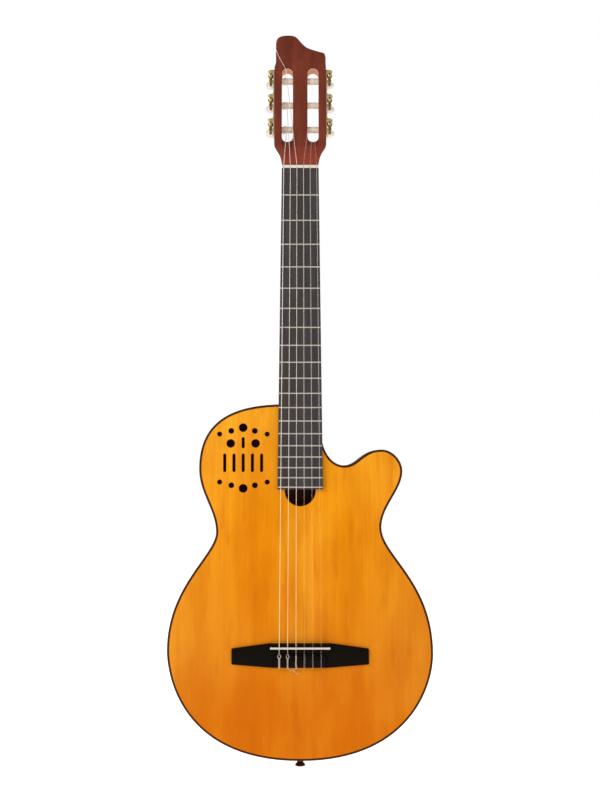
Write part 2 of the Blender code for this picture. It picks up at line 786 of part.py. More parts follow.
def head_outline():
    """The crest's outline as (x, z) points, from the bass side of the nut round the top."""
    neck = head_neck_half_width
    wide = head_half_width
    top = head_length
    side_low = plate_low - 1 * mm
    side_high = plate_high + 0.5 * mm
    shoulder = [(neck, glue_gap), (neck + 1.1 * mm, 7.5 * mm), (neck + 3.1 * mm, 14.9 * mm),
                (wide - 4.8 * mm, 20.7 * mm), (wide - 0.9 * mm, 26.6 * mm),
                (wide, 31 * mm), (wide, side_low), (wide, side_high)]
    bass_crest = [(-wide + 1.9 * mm, top - 41 * mm), (-wide + 2.1 * mm, top - 11 * mm),
                  (-wide + 4.1 * mm, top - 4.7 * mm), (-wide + 9.5 * mm, top - 1.1 * mm)]
    wave = [(-18.0 * mm, top), (-10.8 * mm, top - 0.4 * mm), (-5.6 * mm, top - 2.5 * mm),
            (-0.7 * mm, top - 7.5 * mm), (4.9 * mm, top - 14.7 * mm), (9.6 * mm, top - 18.5 * mm),
            (15.0 * mm, top - 21.0 * mm)]
    treble_crest = [(wide - 5.8 * mm, top - 25.3 * mm), (wide - 2.3 * mm, top - 27.1 * mm),
                    (wide - 0.6 * mm, top - 32.0 * mm), (wide - 0.4 * mm, top - 43 * mm)]
    bass_side = [(-x, z) for x, z in shoulder]
    return bass_side + bass_crest + wave + treble_crest + shoulder[::-1]


def slot_loops():
    """The two string slots, with round ends."""
    loops = []
    for side in (-1, 1):
        drop = -(slot_low + slot_high) / 2
        loops.append(long_hole(side * slot_centre, drop, slot_high - slot_low, slot_width, True, 6))
    return loops


def make_headstock(frame):
    loops = [head_outline()] + slot_loops()
    mesh = plate_mesh("headstock", loops, 0, head_thickness)
    head = add_object("headstock", mesh, mahogany, frame)
    veneer_mesh = plate_mesh("head_veneer", loops, -veneer_thickness, -glue_gap)
    veneer = add_object("head_veneer", veneer_mesh, mahogany, frame)
    ramps = bmesh.new()
    for side in (-1, 1):
        reach = slot_width / 2 - 0.6 * mm
        corners = [(-veneer_thickness - 2 * mm, slot_low - slot_ramp),
                   (-veneer_thickness - 2 * mm, slot_low + slot_width / 2),
                   (slot_ramp_depth, slot_low + slot_width / 2), (slot_ramp_depth, slot_low + 2 * mm)]
        face = ramps.faces.new([ramps.verts.new((side * slot_centre - reach, y, z))
                                for y, z in corners])
        grown = bmesh.ops.extrude_face_region(ramps, geom=[face])
        moved = [item for item in grown["geom"] if isinstance(item, bmesh.types.BMVert)]
        bmesh.ops.translate(ramps, verts=moved, vec=(2 * reach, 0, 0))
    cutter = add_object("slot_ramps", mesh_from(ramps, "slot_ramps"), parent=frame, cutter=True)
    combine(head, cutter)
    combine(veneer, cutter)
    for level, height in enumerate(roller_heights):
        for side in (-1, 1):
            name = "roller_bore_%d_%s" % (level + 1, "left" if side < 0 else "right")
            radius = roller_diameter / 2 + running_gap
            near = roller_inner_end - running_gap
            far = head_half_width + 2 * mm
            bore = turned_mesh(name, [(0, far), (radius, far), (radius, near), (0, near)],
                               roller_sides)
            cutter = add_object(name, bore, parent=frame, cutter=True)
            cutter.rotation_euler = (0, side * math.pi / 2, 0)
            cutter.location = (0, roller_depth, height)
            combine(head, cutter)


# Tuning machines: a side plate, and for each string a roller, its gear and the key that turns it


def make_plate(frame, side):
    name = "tuner_plate_bass" if side < 0 else "tuner_plate_treble"
    near = head_half_width + glue_gap
    low = roller_depth - plate_half_height
    high = roller_depth + plate_half_height
    corners = sorted((side * near, side * plate_outer))
    mesh = box_mesh(name, (corners[0], low, plate_low), (corners[1], high, plate_high))
    plate = add_object(name, mesh, brass, frame)
    reach = gear_middle + worm_tip + ear_end_wall
    ears = bmesh.new()
    for height in roller_heights:
        centre = height + worm_distance
        for end in (-1, 1):
            start = roller_depth + end * (worm_length / 2 + running_gap + ear_thickness / 2)
            added = bmesh.ops.create_cube(ears, size=1.0)["verts"]
            width = reach - near - 0.2 * mm
            foot = worm_tip + ear_wall
            bmesh.ops.scale(ears, verts=added, vec=(width, ear_thickness, ear_top + foot))
            across = side * (reach + near + 0.2 * mm) / 2
            rise = (ear_top - foot) / 2
            bmesh.ops.translate(ears, verts=added, vec=(across, start, centre + rise))
    ear_tool = add_object(name + "_ears", mesh_from(ears, name + "_ears"), parent=frame, cutter=True)
    combine(plate, ear_tool, "UNION")
    for level, height in enumerate(roller_heights):
        tag = "%s_hole_%d" % (name, level + 1)
        radius = key_journal / 2 + running_gap
        bore = turned_mesh(tag, [(0, 20 * mm), (radius, 20 * mm), (radius, -20 * mm),
                                 (0, -20 * mm)], 8)
        cutter = add_object(tag, bore, parent=frame, cutter=True)
        cutter.rotation_euler = (math.pi / 2, 0, 0)
        cutter.location = (side * gear_middle, roller_depth, height + worm_distance)
        combine(plate, cutter)
        tag = "%s_bearing_%d" % (name, level + 1)
        radius = roller_journal / 2 + running_gap
        bore = turned_mesh(tag, [(0, 3 * mm), (radius, 3 * mm), (radius, -3 * mm),
                                 (0, -3 * mm)], 12)
        cutter = add_object(tag, bore, parent=frame, cutter=True)
        cutter.rotation_euler = (0, math.pi / 2, 0)
        cutter.location = (side * (near + plate_outer) / 2, roller_depth, height)
        combine(plate, cutter)


def make_roller(frame, number, side, height):
    """The barrel that the string winds on, and the journal that carries the gear outside."""
    name = "roller_%d" % number
    barrel = roller_diameter / 2
    journal = roller_journal / 2
    outer = head_half_width
    tip = gear_middle + gear_thickness / 2 + 1.2 * mm
    seat_start = gear_middle - gear_thickness / 2 - running_gap
    profile = [(0, tip), (seat_radius, tip), (seat_radius, seat_start), (journal, seat_start),
               (journal, outer),
               (barrel, outer), (barrel, roller_inner_end), (0, roller_inner_end)]
    roller = add_object(name, turned_mesh(name, profile, roller_sides), bone, frame)
    roller.rotation_euler = (0, side * math.pi / 2, 0)
    roller.location = (0, roller_depth, height)
    smooth(roller)


def make_gear(frame, number, side, height):
    """A brass gear whose teeth lean with the worm's thread."""
    name = "gear_%d" % number
    tip = gear_radius + gear_tip_height
    root = gear_radius - gear_root_depth
    lean = worm_lead / (2 * math.pi * worm_radius) * gear_thickness / gear_radius
    pitch = 2 * math.pi / gear_teeth
    tooth = [(root, -0.34), (tip, -0.11), (tip, 0.11), (root, 0.34)]
    bore = seat_radius + running_gap
    bm = bmesh.new()
    rims = []
    for end in (-1, 1):
        turn = end * lean / 2
        x = end * gear_thickness / 2
        ring = []
        for i in range(gear_teeth):
            for radius, share in tooth:
                angle = (i + share) * pitch + turn
                ring.append(bm.verts.new((x, -radius * math.sin(angle), radius * math.cos(angle))))
        hole = []
        for i in range(gear_teeth):
            angle = i * pitch + turn
            hole.append(bm.verts.new((x, -bore * math.sin(angle), bore * math.cos(angle))))
        for i in range(gear_teeth):
            after = (i + 1) % gear_teeth
            fan = [ring[4 * i], ring[4 * i + 1], ring[4 * i + 2], ring[4 * i + 3], hole[i]]
            bm.faces.new(fan)
            bm.faces.new([ring[4 * i + 3], ring[4 * after], hole[after], hole[i]])
        rims.append((ring, hole))
    for near, far in zip(rims[0], rims[1]):
        for i in range(len(near)):
            after = (i + 1) % len(near)
            bm.faces.new((near[i], near[after], far[after], far[i]))
    gear = add_object(name, mesh_from(bm, name), brass, frame)
    gear.location = (side * gear_middle, roller_depth, height)


def make_key(frame, number, side, height):
    """Worm, shaft and button in one. With an odd number of turns the gear's tooth at the worm's
    middle stands in a groove of the thread."""
    name = "key_%d" % number
    half = worm_length / 2
    journal = key_journal / 2
    front = half + running_gap + ear_thickness + 0.8 * mm
    collar = half + 2 * running_gap + ear_thickness
    profile = [(0, front), (journal, front), (journal, half), (worm_root, half),
               (worm_root, -half), (journal, -half), (journal, -collar),
               (journal + 0.9 * mm, -collar), (journal + 0.9 * mm, -collar - 2 * mm),
               (journal, -collar - 2 * mm), (journal, -button_start - 4 * mm),
               (0, -button_start - 4 * mm)]
    shaft = turned_mesh(name, profile, worm_steps)
    shaft.transform(Matrix.Rotation(math.pi / 2, 4, "X"))
    key = add_object(name, shaft, brass, frame)
    key.location = (side * gear_middle, roller_depth, height + worm_distance)
    thread = bmesh.new()
    foot = worm_root - 0.35 * mm
    start = -worm_lead * worm_turns / 2
    section = [(foot, -0.62 * mm), (worm_tip, -0.26 * mm), (worm_tip, 0.26 * mm), (foot, 0.62 * mm)]
    verts = [thread.verts.new((0, y + start, -radius)) for radius, y in section]
    face = thread.faces.new(verts)
    steps = round(worm_turns * worm_steps)
    bmesh.ops.spin(thread, geom=verts + list(thread.edges) + [face], cent=(0, 0, 0),
                   axis=(0, 1, 0), dvec=(0, worm_lead / worm_steps, 0),
                   angle=2 * math.pi * worm_turns, steps=steps, use_merge=False)
    tool = add_object(name + "_thread", mesh_from(thread, name + "_thread"), parent=frame, cutter=True)
    tool.location = key.location
    combine(key, tool, "UNION")
    bm = bmesh.new()
    bmesh.ops.create_uvsphere(bm, u_segments=10, v_segments=6, radius=0.5)
    bm.transform(Matrix.Translation((0, button_start + button_length / 2, 0))
                 @ Matrix.Diagonal((button_width, button_length, button_thickness, 1))
                 @ Matrix.Rotation(math.pi / 2, 4, "X"))
    button = add_object(name + "_button", mesh_from(bm, name + "_button"), parent=frame, cutter=True)
    button.location = key.location
    combine(key, button, "UNION")


# Strings


def roller_height(number):
    """The outer strings go to the rollers nearest the nut, the middle ones to the farthest."""
    last = len(string_diameters) - 1
    return roller_heights[min(number, last - number)]


def head_point(frame_place, across, depth, height):
    """A point of the tilted headstock's frame as a world place."""
    turn = Matrix.Rotation(-head_tilt, 4, "X")
    return Vector(frame_place) + (turn @ Vector((across, depth, height)))


def string_points(number):
    """From the roller's winding over the nut and saddle, through the tie block and round it."""
    radius = string_diameters[number] / 2
    side = 1 if number < 3 else -1
    frame_place = (0, 0, nut_thickness)
    height = roller_height(number)
    barrel = roller_diameter / 2 / math.cos(math.pi / winding_points)
    wind = barrel + string_gap + radius + 0.1 * mm
    nut_back = string_place(number, 0) + Vector((0, 0, nut_thickness))
    local = Matrix.Rotation(head_tilt, 4, "X") @ (nut_back - Vector(frame_place))
    run = Vector((height - local.z, roller_depth - local.y))
    heading = math.atan2(run.y, run.x) - math.asin(wind / run.length)
    points = []
    total = round(winding_turns * winding_points)
    for i in range(total, -1, -1):
        angle = heading + 2 * math.pi * i / winding_points
        across = side * (slot_centre + winding_offset + winding_pitch * i / winding_points)
        points.append(head_point(frame_place, across, roller_depth - wind * math.cos(angle),
                                 height + wind * math.sin(angle)))
    first = points[0]
    outward = (points[0] - points[1]).normalized()
    points.insert(0, first + outward * 5 * mm)
    points.append(nut_back)
    points.append(string_place(number, 0))
    crest = string_place(number, saddle_drop + saddle_thickness / 2 + string_gap)
    points.append(crest)
    across = crest.x
    step = max(string_diameters) + 0.6 * mm
    start = saddle_drop + tie_block_start
    end = start + tie_block_width
    top = tie_block_height + string_gap + radius + 0.2 * mm
    side_step = step if across < 0 else -step
    path = [(0, tie_hole_height, start - 0.6 * mm), (0, tie_hole_height, end + 0.6 * mm),
            (0.15, tie_hole_height + 0.7 * mm, end + 1.5 * mm),
            (0.3, top - 0.8 * mm, end + 1.5 * mm), (0.45, top, end + 0.4 * mm),
            (0.85, top, start + 1 * mm), (1, top - 0.4 * mm, start - 0.8 * mm),
            (1.1, top - 3 * mm, start - 1.4 * mm)]
    for share, rise, drop in path:
        points.append(Vector((across + share * side_step, -rise, -drop)))
    return points


def least_gap(points, radius):
    """Least gap of a wound tube to itself, on points more than four diameters apart along it."""
    along = [0.0]
    for here, there in zip(points, points[1:]):
        along.append(along[-1] + (there - here).length)
    least = 1.0
    for i, here in enumerate(points):
        for j in range(i):
            if along[i] - along[j] > 8 * radius:
                least = min(least, (here - points[j]).length - 2 * radius)
    return least


def make_strings():
    for number in range(6):
        radius = string_diameters[number] / 2
        points = string_points(number)
        name = "string_%d" % (number + 1)
        mesh = tube_mesh(name, points, radius)
        smooth(add_object(name, mesh, nylon if number < 3 else wound_wire), 80)
        print("%s least gap to itself %.2f mm" % (name, least_gap(points, radius) / mm))


def make_tuners(frame):
    for side in (-1, 1):
        make_plate(frame, side)
    for number in range(6):
        side = 1 if number < 3 else -1
        height = roller_height(number)
        make_roller(frame, number + 1, side, height)
        make_gear(frame, number + 1, side, height)
        make_key(frame, number + 1, side, height)


make_soundboard()
make_rim()
make_back()
make_binding()
make_blocks()
make_braces()
make_end_button()
make_bridge()
make_saddle()
make_neck()
make_fingerboard()
make_frets()
make_nut()
head = head_empty()
make_headstock(head)
make_tuners(head)
make_strings()
bpy.context.view_layer.update()
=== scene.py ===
"""Dresses the guitar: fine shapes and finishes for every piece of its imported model.

X runs to the treble side, Y from the front of the guitar to its back, Z up to the headstock.
The origin is on the centre line, at the nut's edge and on the plane of the soundboard's face.
Lengths are in metres, and values in millimetres are multiplied by mm.
"""
import math
from collections import namedtuple
from functools import partial

import bmesh
import bpy
from bpy.props import FloatProperty, FloatVectorProperty, PointerProperty
from bpy.types import Operator, Panel, PropertyGroup
from mathutils import Matrix, Vector
from mathutils.geometry import interpolate_bezier


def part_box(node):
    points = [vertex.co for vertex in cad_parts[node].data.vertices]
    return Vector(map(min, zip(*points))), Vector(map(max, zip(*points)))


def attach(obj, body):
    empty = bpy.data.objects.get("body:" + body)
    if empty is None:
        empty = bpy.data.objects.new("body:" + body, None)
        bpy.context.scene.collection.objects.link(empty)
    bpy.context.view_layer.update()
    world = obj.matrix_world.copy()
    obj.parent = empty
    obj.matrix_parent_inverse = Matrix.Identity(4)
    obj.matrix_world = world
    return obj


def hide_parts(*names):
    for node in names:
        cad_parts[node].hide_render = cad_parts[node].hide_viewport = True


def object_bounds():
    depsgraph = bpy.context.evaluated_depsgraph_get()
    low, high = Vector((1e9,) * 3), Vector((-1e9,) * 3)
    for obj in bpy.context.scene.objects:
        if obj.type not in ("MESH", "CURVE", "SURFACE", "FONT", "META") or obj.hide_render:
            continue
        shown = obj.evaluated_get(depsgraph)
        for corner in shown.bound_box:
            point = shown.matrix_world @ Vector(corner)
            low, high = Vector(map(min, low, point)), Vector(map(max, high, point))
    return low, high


bl_info = {
    "name": "Cutaway Nylon-String Guitar",
    "version": (1, 0, 0),
    "blender": (4, 5, 0),
    "location": "3D Viewport > Sidebar > Guitar",
    "description": "Builds the finished pieces of a cutaway nylon-string guitar",
    "category": "Object",
}

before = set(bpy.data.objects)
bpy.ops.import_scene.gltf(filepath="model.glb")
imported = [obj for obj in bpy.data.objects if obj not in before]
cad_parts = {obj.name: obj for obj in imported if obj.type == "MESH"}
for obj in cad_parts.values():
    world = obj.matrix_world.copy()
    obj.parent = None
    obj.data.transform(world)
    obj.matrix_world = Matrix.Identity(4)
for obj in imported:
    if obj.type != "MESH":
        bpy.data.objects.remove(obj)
packed_low, packed_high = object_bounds()

mm = 0.001
weld_distance = 0.002 * mm
sharp_angle = 35


# Shapes that are drawn rather than set: outlines, turned profiles and knots, in millimetres

Anchor = namedtuple("Anchor", "across drop heading before after")

body_anchors = [
    Anchor(-29.0, 0.0, 178, 1.0, 47.5),
    Anchor(-137.5, 87.5, 90, 75.0, 34.5),
    Anchor(-114.5, 174.0, 90, 30.5, 30.5),
    Anchor(-181.5, 335.5, 90, 88.0, 32.5),
    Anchor(0.0, 485.5, 0, 163.0, 147.5),
    Anchor(181.0, 340.0, -90, 45.5, 99.0),
    Anchor(110.5, 167.5, -90, 37.5, 29.0),
    Anchor(139.0, 90.5, -90, 26.5, 12.5),
    Anchor(110.0, 61.5, 179, 17.0, 24.5),
    Anchor(62.5, 83.0, 176, 16.0, 25.0),
    Anchor(29.0, 43.0, 270, 10.5, 1.0),
]
outline_steps = 30

# Ports in the upper bout: place across, drop below the body's top, width, height
round_ports = [
    (-109.6, 40.5, 6.8), (-93.8, 36.1, 7.8), (-77.6, 31.7, 11.7), (-61.7, 36.1, 7.8),
    (-44.9, 40.5, 6.8), (-94.6, 53.1, 11.6), (-60.7, 53.1, 11.6), (-109.6, 105.7, 6.8),
    (-93.8, 110.1, 7.8), (-77.6, 114.3, 11.8), (-61.7, 110.1, 7.8), (-44.9, 105.7, 6.8),
]
slot_ports = [
    (-77.6, 52.1, 4.2, 15.2), (-102.7, 79.5, 4.2, 25.2), (-90.15, 79.5, 4.2, 25.2),
    (-77.6, 79.5, 4.2, 25.2), (-65.05, 79.5, 4.2, 25.2), (-52.5, 79.5, 4.2, 25.2),
]

# The neck from the nut to the heel's foot: drop, depth, and how square its section is
neck_stations = [
    (4.0, 17.5, 5.0), (14.0, 16.2, 3.2), (30.0, 15.5, 2.5), (70.0, 15.7, 2.4),
    (120.0, 16.4, 2.4), (180.0, 17.3, 2.4), (230.0, 18.0, 2.4), (268.3, 18.5, 2.4),
]

# The headstock's side from the nut up to where it runs straight: across, height
head_flare = [
    (24.6, 0.0), (25.0, 3.2), (25.6, 6.1), (26.1, 9.0), (26.9, 12.0), (27.9, 14.9), (29.1, 17.8),
    (30.8, 20.7), (32.7, 23.7), (34.4, 26.6), (35.2, 29.5),
]

# The crest: in from the bass side, from the centre line and in from the treble side, and each
# point's drop below the top
crest_bass = [
    (1.9, 41.0), (2.0, 30.0), (2.1, 14.0), (2.5, 9.0), (4.2, 4.6), (7.0, 2.3), (9.8, 1.0),
    (12.6, 0.4),
]
crest_middle = [
    (-18.0, 0.0), (-14.0, 0.0), (-10.5, 0.4), (-7.6, 1.4), (-5.0, 3.1), (-2.5, 5.8), (0.5, 9.5),
    (3.4, 13.0), (6.3, 16.0), (9.6, 18.4), (13.2, 20.1), (18.0, 21.9), (24.3, 23.9),
]
crest_treble = [(6.0, 25.4), (3.4, 26.2), (1.9, 27.6), (0.9, 30.2), (0.5, 34.0), (0.4, 42.0)]

# An ear of a tuner's bracket, seen from the front: out from the head's side, over the worm
ear_outline = [
    (0.0, 6.2), (3.0, 6.5), (5.4, 6.4), (7.4, 5.6), (8.7, 4.0), (8.9, 2.2), (8.2, 0.4),
    (7.2, -1.2), (6.6, -2.6), (6.2, -3.8), (5.0, -4.3), (3.8, -3.8), (3.3, -2.4), (2.4, -0.6),
    (1.0, 0.6), (0.0, 1.0),
]

# A button's half profile: share of its length, share of its half width
button_profile = [
    (0.0, 0.0), (0.0, 0.34), (0.05, 0.40), (0.12, 0.42), (0.2, 0.62), (0.33, 0.86),
    (0.5, 1.0), (0.68, 0.99), (0.84, 0.85), (0.94, 0.58), (0.99, 0.27), (1.0, 0.0),
]

# The strap button's half profile: height below the body's tail, radius
strap_button_profile = [
    (0.0, 3.4), (0.0, 7.0), (1.2, 7.0), (2.0, 6.3), (3.2, 4.7), (5.2, 4.3), (7.2, 4.6),
    (8.8, 6.1), (9.8, 6.9), (11.2, 7.0), (12.1, 6.3), (12.5, 5.2), (12.5, 0.0),
]

# The strings, from the first on the treble side to the sixth on the bass side
string_count = 6
fret_count = 19
string_diameters = [0.71, 0.82, 1.02, 0.76, 0.89, 1.09]
string_shares = [0.5, 0.3, 0.1, -0.1, -0.3, -0.5]

# Each string's loose end behind the tie block: across from the string, height, drop
tie_tails = [
    [(0.6, 7.4, 679.5), (2.8, 4.6, 682.6), (5.4, 2.6, 685.6)],
    [(-0.4, 7.2, 679.4), (-0.8, 5.4, 681.4)],
    [(-0.3, 7.2, 679.4), (-0.9, 5.2, 681.8)],
    [(1.4, 8.2, 675.4), (1.5, 7.4, 678.2), (0.2, 6.4, 679.8), (-2.6, 5.6, 680.2),
     (-5.6, 5.0, 680.0)],
    [(0.4, 7.6, 679.4), (3.6, 5.4, 681.6), (7.6, 4.2, 682.2), (11.2, 3.0, 685.0),
     (14.4, 2.2, 687.6)],
    [(0.0, 7.4, 679.2), (-0.4, 5.2, 680.6)],
]

# The fourth string's long loose end over the headstock: across, depth, height over the nut
long_tail_string = 3
long_tail = [(-33.4, -3.2, 171.2), (-29.5, -3.4, 160.4), (-24.2, -3.4, 150.4),
             (-20.2, -2.8, 142.0), (-19.2, -0.6, 137.5)]


# Settings


def screen(red, green, blue):
    """Linear colour from a screen's values of 0 to 255."""
    shares = [value / 255 for value in (red, green, blue)]
    return tuple(s / 12.92 if s <= 0.04045 else ((s + 0.055) / 1.055) ** 2.4 for s in shares)


def length(name, value, description, least=0.0):
    """A length property, its default given in millimetres."""
    return FloatProperty(name=name, description=description, default=value * mm, min=least,
                         unit="LENGTH", subtype="DISTANCE", precision=4)


def tint(name, red, green, blue, description):
    """A colour property, its default given in a screen's values."""
    return FloatVectorProperty(name=name, description=description, subtype="COLOR", size=3,
                               min=0.0, max=1.0, default=screen(red, green, blue))


def amount(name, value, description):
    """A plain number property."""
    return FloatProperty(name=name, description=description, default=value, min=0.0)


class GuitarBodySizes(PropertyGroup):
    """Sizes of the hollow body and what is glued on it."""

    top_drop: length("Top", 320.5, "How far the body's top is below the nut")
    depth: length("Depth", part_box("back")[1].y / mm, "From the soundboard's face to the back")
    board: length("Soundboard", 3.0, "Thickness of the soundboard and of the back")
    wall: length("Sides", 7.0, "Thickness of the sides with their linings")
    binding_width: length("Binding width", 3.0, "Width of the binding, seen from the front")
    binding_height: length("Binding height", 6.0, "Height of the binding on the sides")
    edge: length("Edge radius", 1.3, "Rounding of the body's outer edges")
    hole_edge: length("Hole edge", 0.35, "Rounding of the edges of the sound holes")
    moon_radius: length("Half moon radius", 21.0, "Radius of the hole under the fingerboard")
    moon_depth: length("Half moon depth", 23.0, "How far that hole shows past the fingerboard")
    bridge_length: length("Bridge length", 187.0, "From tip to tip")
    bridge_width: length("Bridge width", 33.3, "Across its middle, along the strings")
    bridge_height: length("Bridge height", 3.6, "Height of the bridge's wings")
    saddle_block: length("Saddle block", 9.0, "Height of the block that holds the saddle")
    tie_block: length("Tie block", 8.4, "Height of the block that the strings are tied to")
    tie_width: length("Tie block width", 16.0, "Width of that block, along the strings")
    tie_start: length("Tie block start", 10.0, "How far behind the saddle that block starts")
    tie_hole: length("Tie hole height", 5.1, "Height of the string holes over the soundboard")
    saddle_length: length("Saddle length", 82.0, "Length of the saddle")
    saddle_thickness: length("Saddle thickness", 2.6, "Thickness of the saddle")


class GuitarNeckSizes(PropertyGroup):
    """Sizes of the neck, the fingerboard and the strings' run."""

    scale: length("Scale length", 650.0, "From the nut to the saddle, in theory")
    setback: length("Setback", 1.5, "How much longer the real strings are")
    board_height: length("Fingerboard height", 6.0, "Height of its face over the soundboard")
    board_nut: length("Width at the nut", 50.0, "Fingerboard's width at the nut")
    board_end: length("Width at the end", 62.0, "Fingerboard's width at its end")
    board_length: length("Fingerboard length", 436.1, "From the nut to its end")
    fret_width: length("Fret width", 1.8, "Width of a fret's crown")
    fret_height: length("Fret height", 1.0, "Height of a fret's crown")
    nut_thickness: length("Nut thickness", 4.0, "Thickness of the nut, along the strings")
    nut_string: length("String over the nut", 2.3, "Strings over the fingerboard at the nut")
    saddle_string: length("String at the saddle", 13.6, "Strings over the soundboard there")
    span_nut: length("String span, nut", 44.6, "From the first string to the sixth at the nut")
    span_saddle: length("String span, saddle", 57.0, "From the first to the sixth at the saddle")
    heel_length: length("Heel length", 52.2, "Length over which the neck sweeps back")


class GuitarHeadSizes(PropertyGroup):
    """Sizes of the slotted headstock and its tuning machines."""

    tilt: FloatProperty(name="Tilt", description="Lean of the headstock, backwards",
                        default=math.radians(14), subtype="ANGLE", unit="ROTATION")
    height: length("Length", 193.2, "From the nut to the crest")
    half_width: length("Half width", 35.5, "Half the width at the tuning machines")
    thickness: length("Thickness", 18.5, "Thickness of the wood behind the veneer")
    veneer: length("Veneer", 2.0, "Thickness of the veneer on its face")
    edge: length("Edge radius", 1.0, "Rounding of its edges")
    flare_start: length("Flare's start", 24.2, "Half width outside which the flare is carved")
    flare_end: length("Flare's end", 42.0, "Height over the nut where its sides run straight")
    flare_carve: length("Flare's carve", 4.2, "How far the flare's sides lean in at the back")
    slot_width: length("Slot width", 15.3, "Width of a string slot")
    slot_centre: length("Slot centre", 17.6, "From the centre line to a slot's middle")
    slot_low: length("Slot's low end", 35.3, "Low end of the slots over the nut")
    slot_high: length("Slot's high end", 144.5, "High end of the slots over the nut")
    roller_low: length("First roller", 56.2, "Height of the lowest rollers over the nut")
    roller_pitch: length("Roller pitch", 36.1, "From one roller to the next")
    roller_depth: length("Roller depth", 8.25, "Rollers' depth behind the wood's face")
    roller_radius: length("Roller radius", 4.5, "Radius of a roller's barrel")
    plate: length("Plate", 1.2, "Thickness of a side plate")
    plate_half: length("Plate's half width", 6.5, "Half the width of a side plate")
    gear_middle: length("Gear", 40.5, "From the centre line to a gear's middle")
    worm_rise: length("Worm", 8.4, "From a roller's axis up to its worm's axis")
    button_start: length("Button start", 20.25, "From a roller's axis back to its button")
    button_length: length("Button length", 19.0, "Length of a button")
    button_width: length("Button width", 14.8, "Width of a button, across the guitar")
    button_thickness: length("Button thickness", 10.0, "Thickness, along the headstock")


class GuitarColours(PropertyGroup):
    """Colours of the finishes."""

    # The three ambers deepen towards the tail: partly the wood's own tone, partly painted shade.
    amber_light: tint("Amber, light", 246, 172, 38, "Soundboard at its upper bout")
    amber_middle: tint("Amber, middle", 237, 148, 1, "Soundboard at its waist")
    amber_deep: tint("Amber, deep", 211, 112, 0, "Soundboard at its tail")
    amber_flank: tint("Amber, flanks", 244, 172, 54, "Soundboard towards its sides")
    amber_grain: tint("Amber grain", 190, 88, 0, "Grain lines of the soundboard")
    # Pale amber: for pale figure, and for a painted highlight down the soundboard's middle.
    amber_figure_and_highlight: tint("Amber, pale", 245, 169, 44, "Pale figure along the soundboard's middle")
    mahogany: tint("Mahogany", 129, 60, 39, "Lighter streaks of the mahogany")
    mahogany_deep: tint("Mahogany, deep", 93, 39, 28, "Darker streaks of the mahogany")
    mahogany_glow: tint("Mahogany, red", 194, 82, 64, "Redder wood of the headstock's foot")
    # Bare wood in the slots, made paler still as painted light from below.
    mahogany_raw: tint("Mahogany, raw", 226, 172, 142, "Bare wood inside the string slots")
    veneer_edge: tint("Veneer edge", 52, 26, 22, "Stained edges of the headstock's veneer")
    rosewood: tint("Rosewood", 66, 59, 56, "Fingerboard")
    rosewood_deep: tint("Rosewood, deep", 40, 34, 32, "Fingerboard's darker grain")
    ebony: tint("Ebony", 13, 8, 4, "Bridge")
    trim: tint("Binding", 56, 22, 4, "Binding and strap button")
    bone: tint("Bone", 216, 208, 196, "Nut and saddle")
    fret: tint("Frets", 190, 181, 166, "Fret wire")
    gilt: tint("Gilt", 232, 205, 155, "Plates and gears")
    gilt_deep: tint("Gilt, deep", 156, 122, 74, "Gilt in its recesses")
    pearl: tint("Buttons", 236, 228, 216, "Tuning buttons")
    barrel: tint("Rollers", 226, 214, 196, "Barrels that the strings wind on")
    nylon: tint("Nylon", 240, 234, 230, "Clear treble strings")
    # Painted reflection of the amber top in the clear strings.
    nylon_amber_reflection: tint("Nylon, warm", 255, 208, 96, "The same, over the amber top")
    wound: tint("Wound strings", 254, 240, 230, "Silvered winding of the bass strings")
    # Painted reflection of the amber top in the silver winding.
    wound_amber_reflection: tint("Wound strings, warm", 255, 226, 150, "The same, over the amber top")
    # Painted shade on the wound strings where they are tied at the bridge.
    wound_bridge_shade: tint("Wound strings, dim", 228, 212, 198, "The same, tied at the bridge")
    spruce: tint("Spruce", 208, 172, 122, "Braces inside the body")


class GuitarStage(PropertyGroup):
    """The camera, the floor and the lights."""

    distance: length("Camera distance", 2470.0, "From the camera to the soundboard's face")
    height: length("Camera height", -396.0, "Camera's height over the nut", -10.0)
    centre: length("View centre", -311.2, "Height of the view's middle there", -10.0)
    across: length("Camera across", -0.3, "Camera's place across the guitar", -10.0)
    view_height: length("View height", 1081.5, "Height of the view at the soundboard's face")
    floor_gap: length("Floor gap", 34.0, "How far the floor is below the guitar")
    sky: amount("Room light", 0.4, "Brightness of the white room")
    key: amount("Key light", 34.0, "Power of the softbox at the upper left")
    fill: amount("Fill light", 9.0, "Power of the softbox at the right")
    back: amount("Back light", 16.0, "Power of the softbox behind")


# Node helpers


def shaded(colour, *shares):
    """The colour times one share, or times a share for each of its channels."""
    shares = shares if len(shares) == 3 else shares * 3
    return tuple(value * share for value, share in zip(colour, shares))


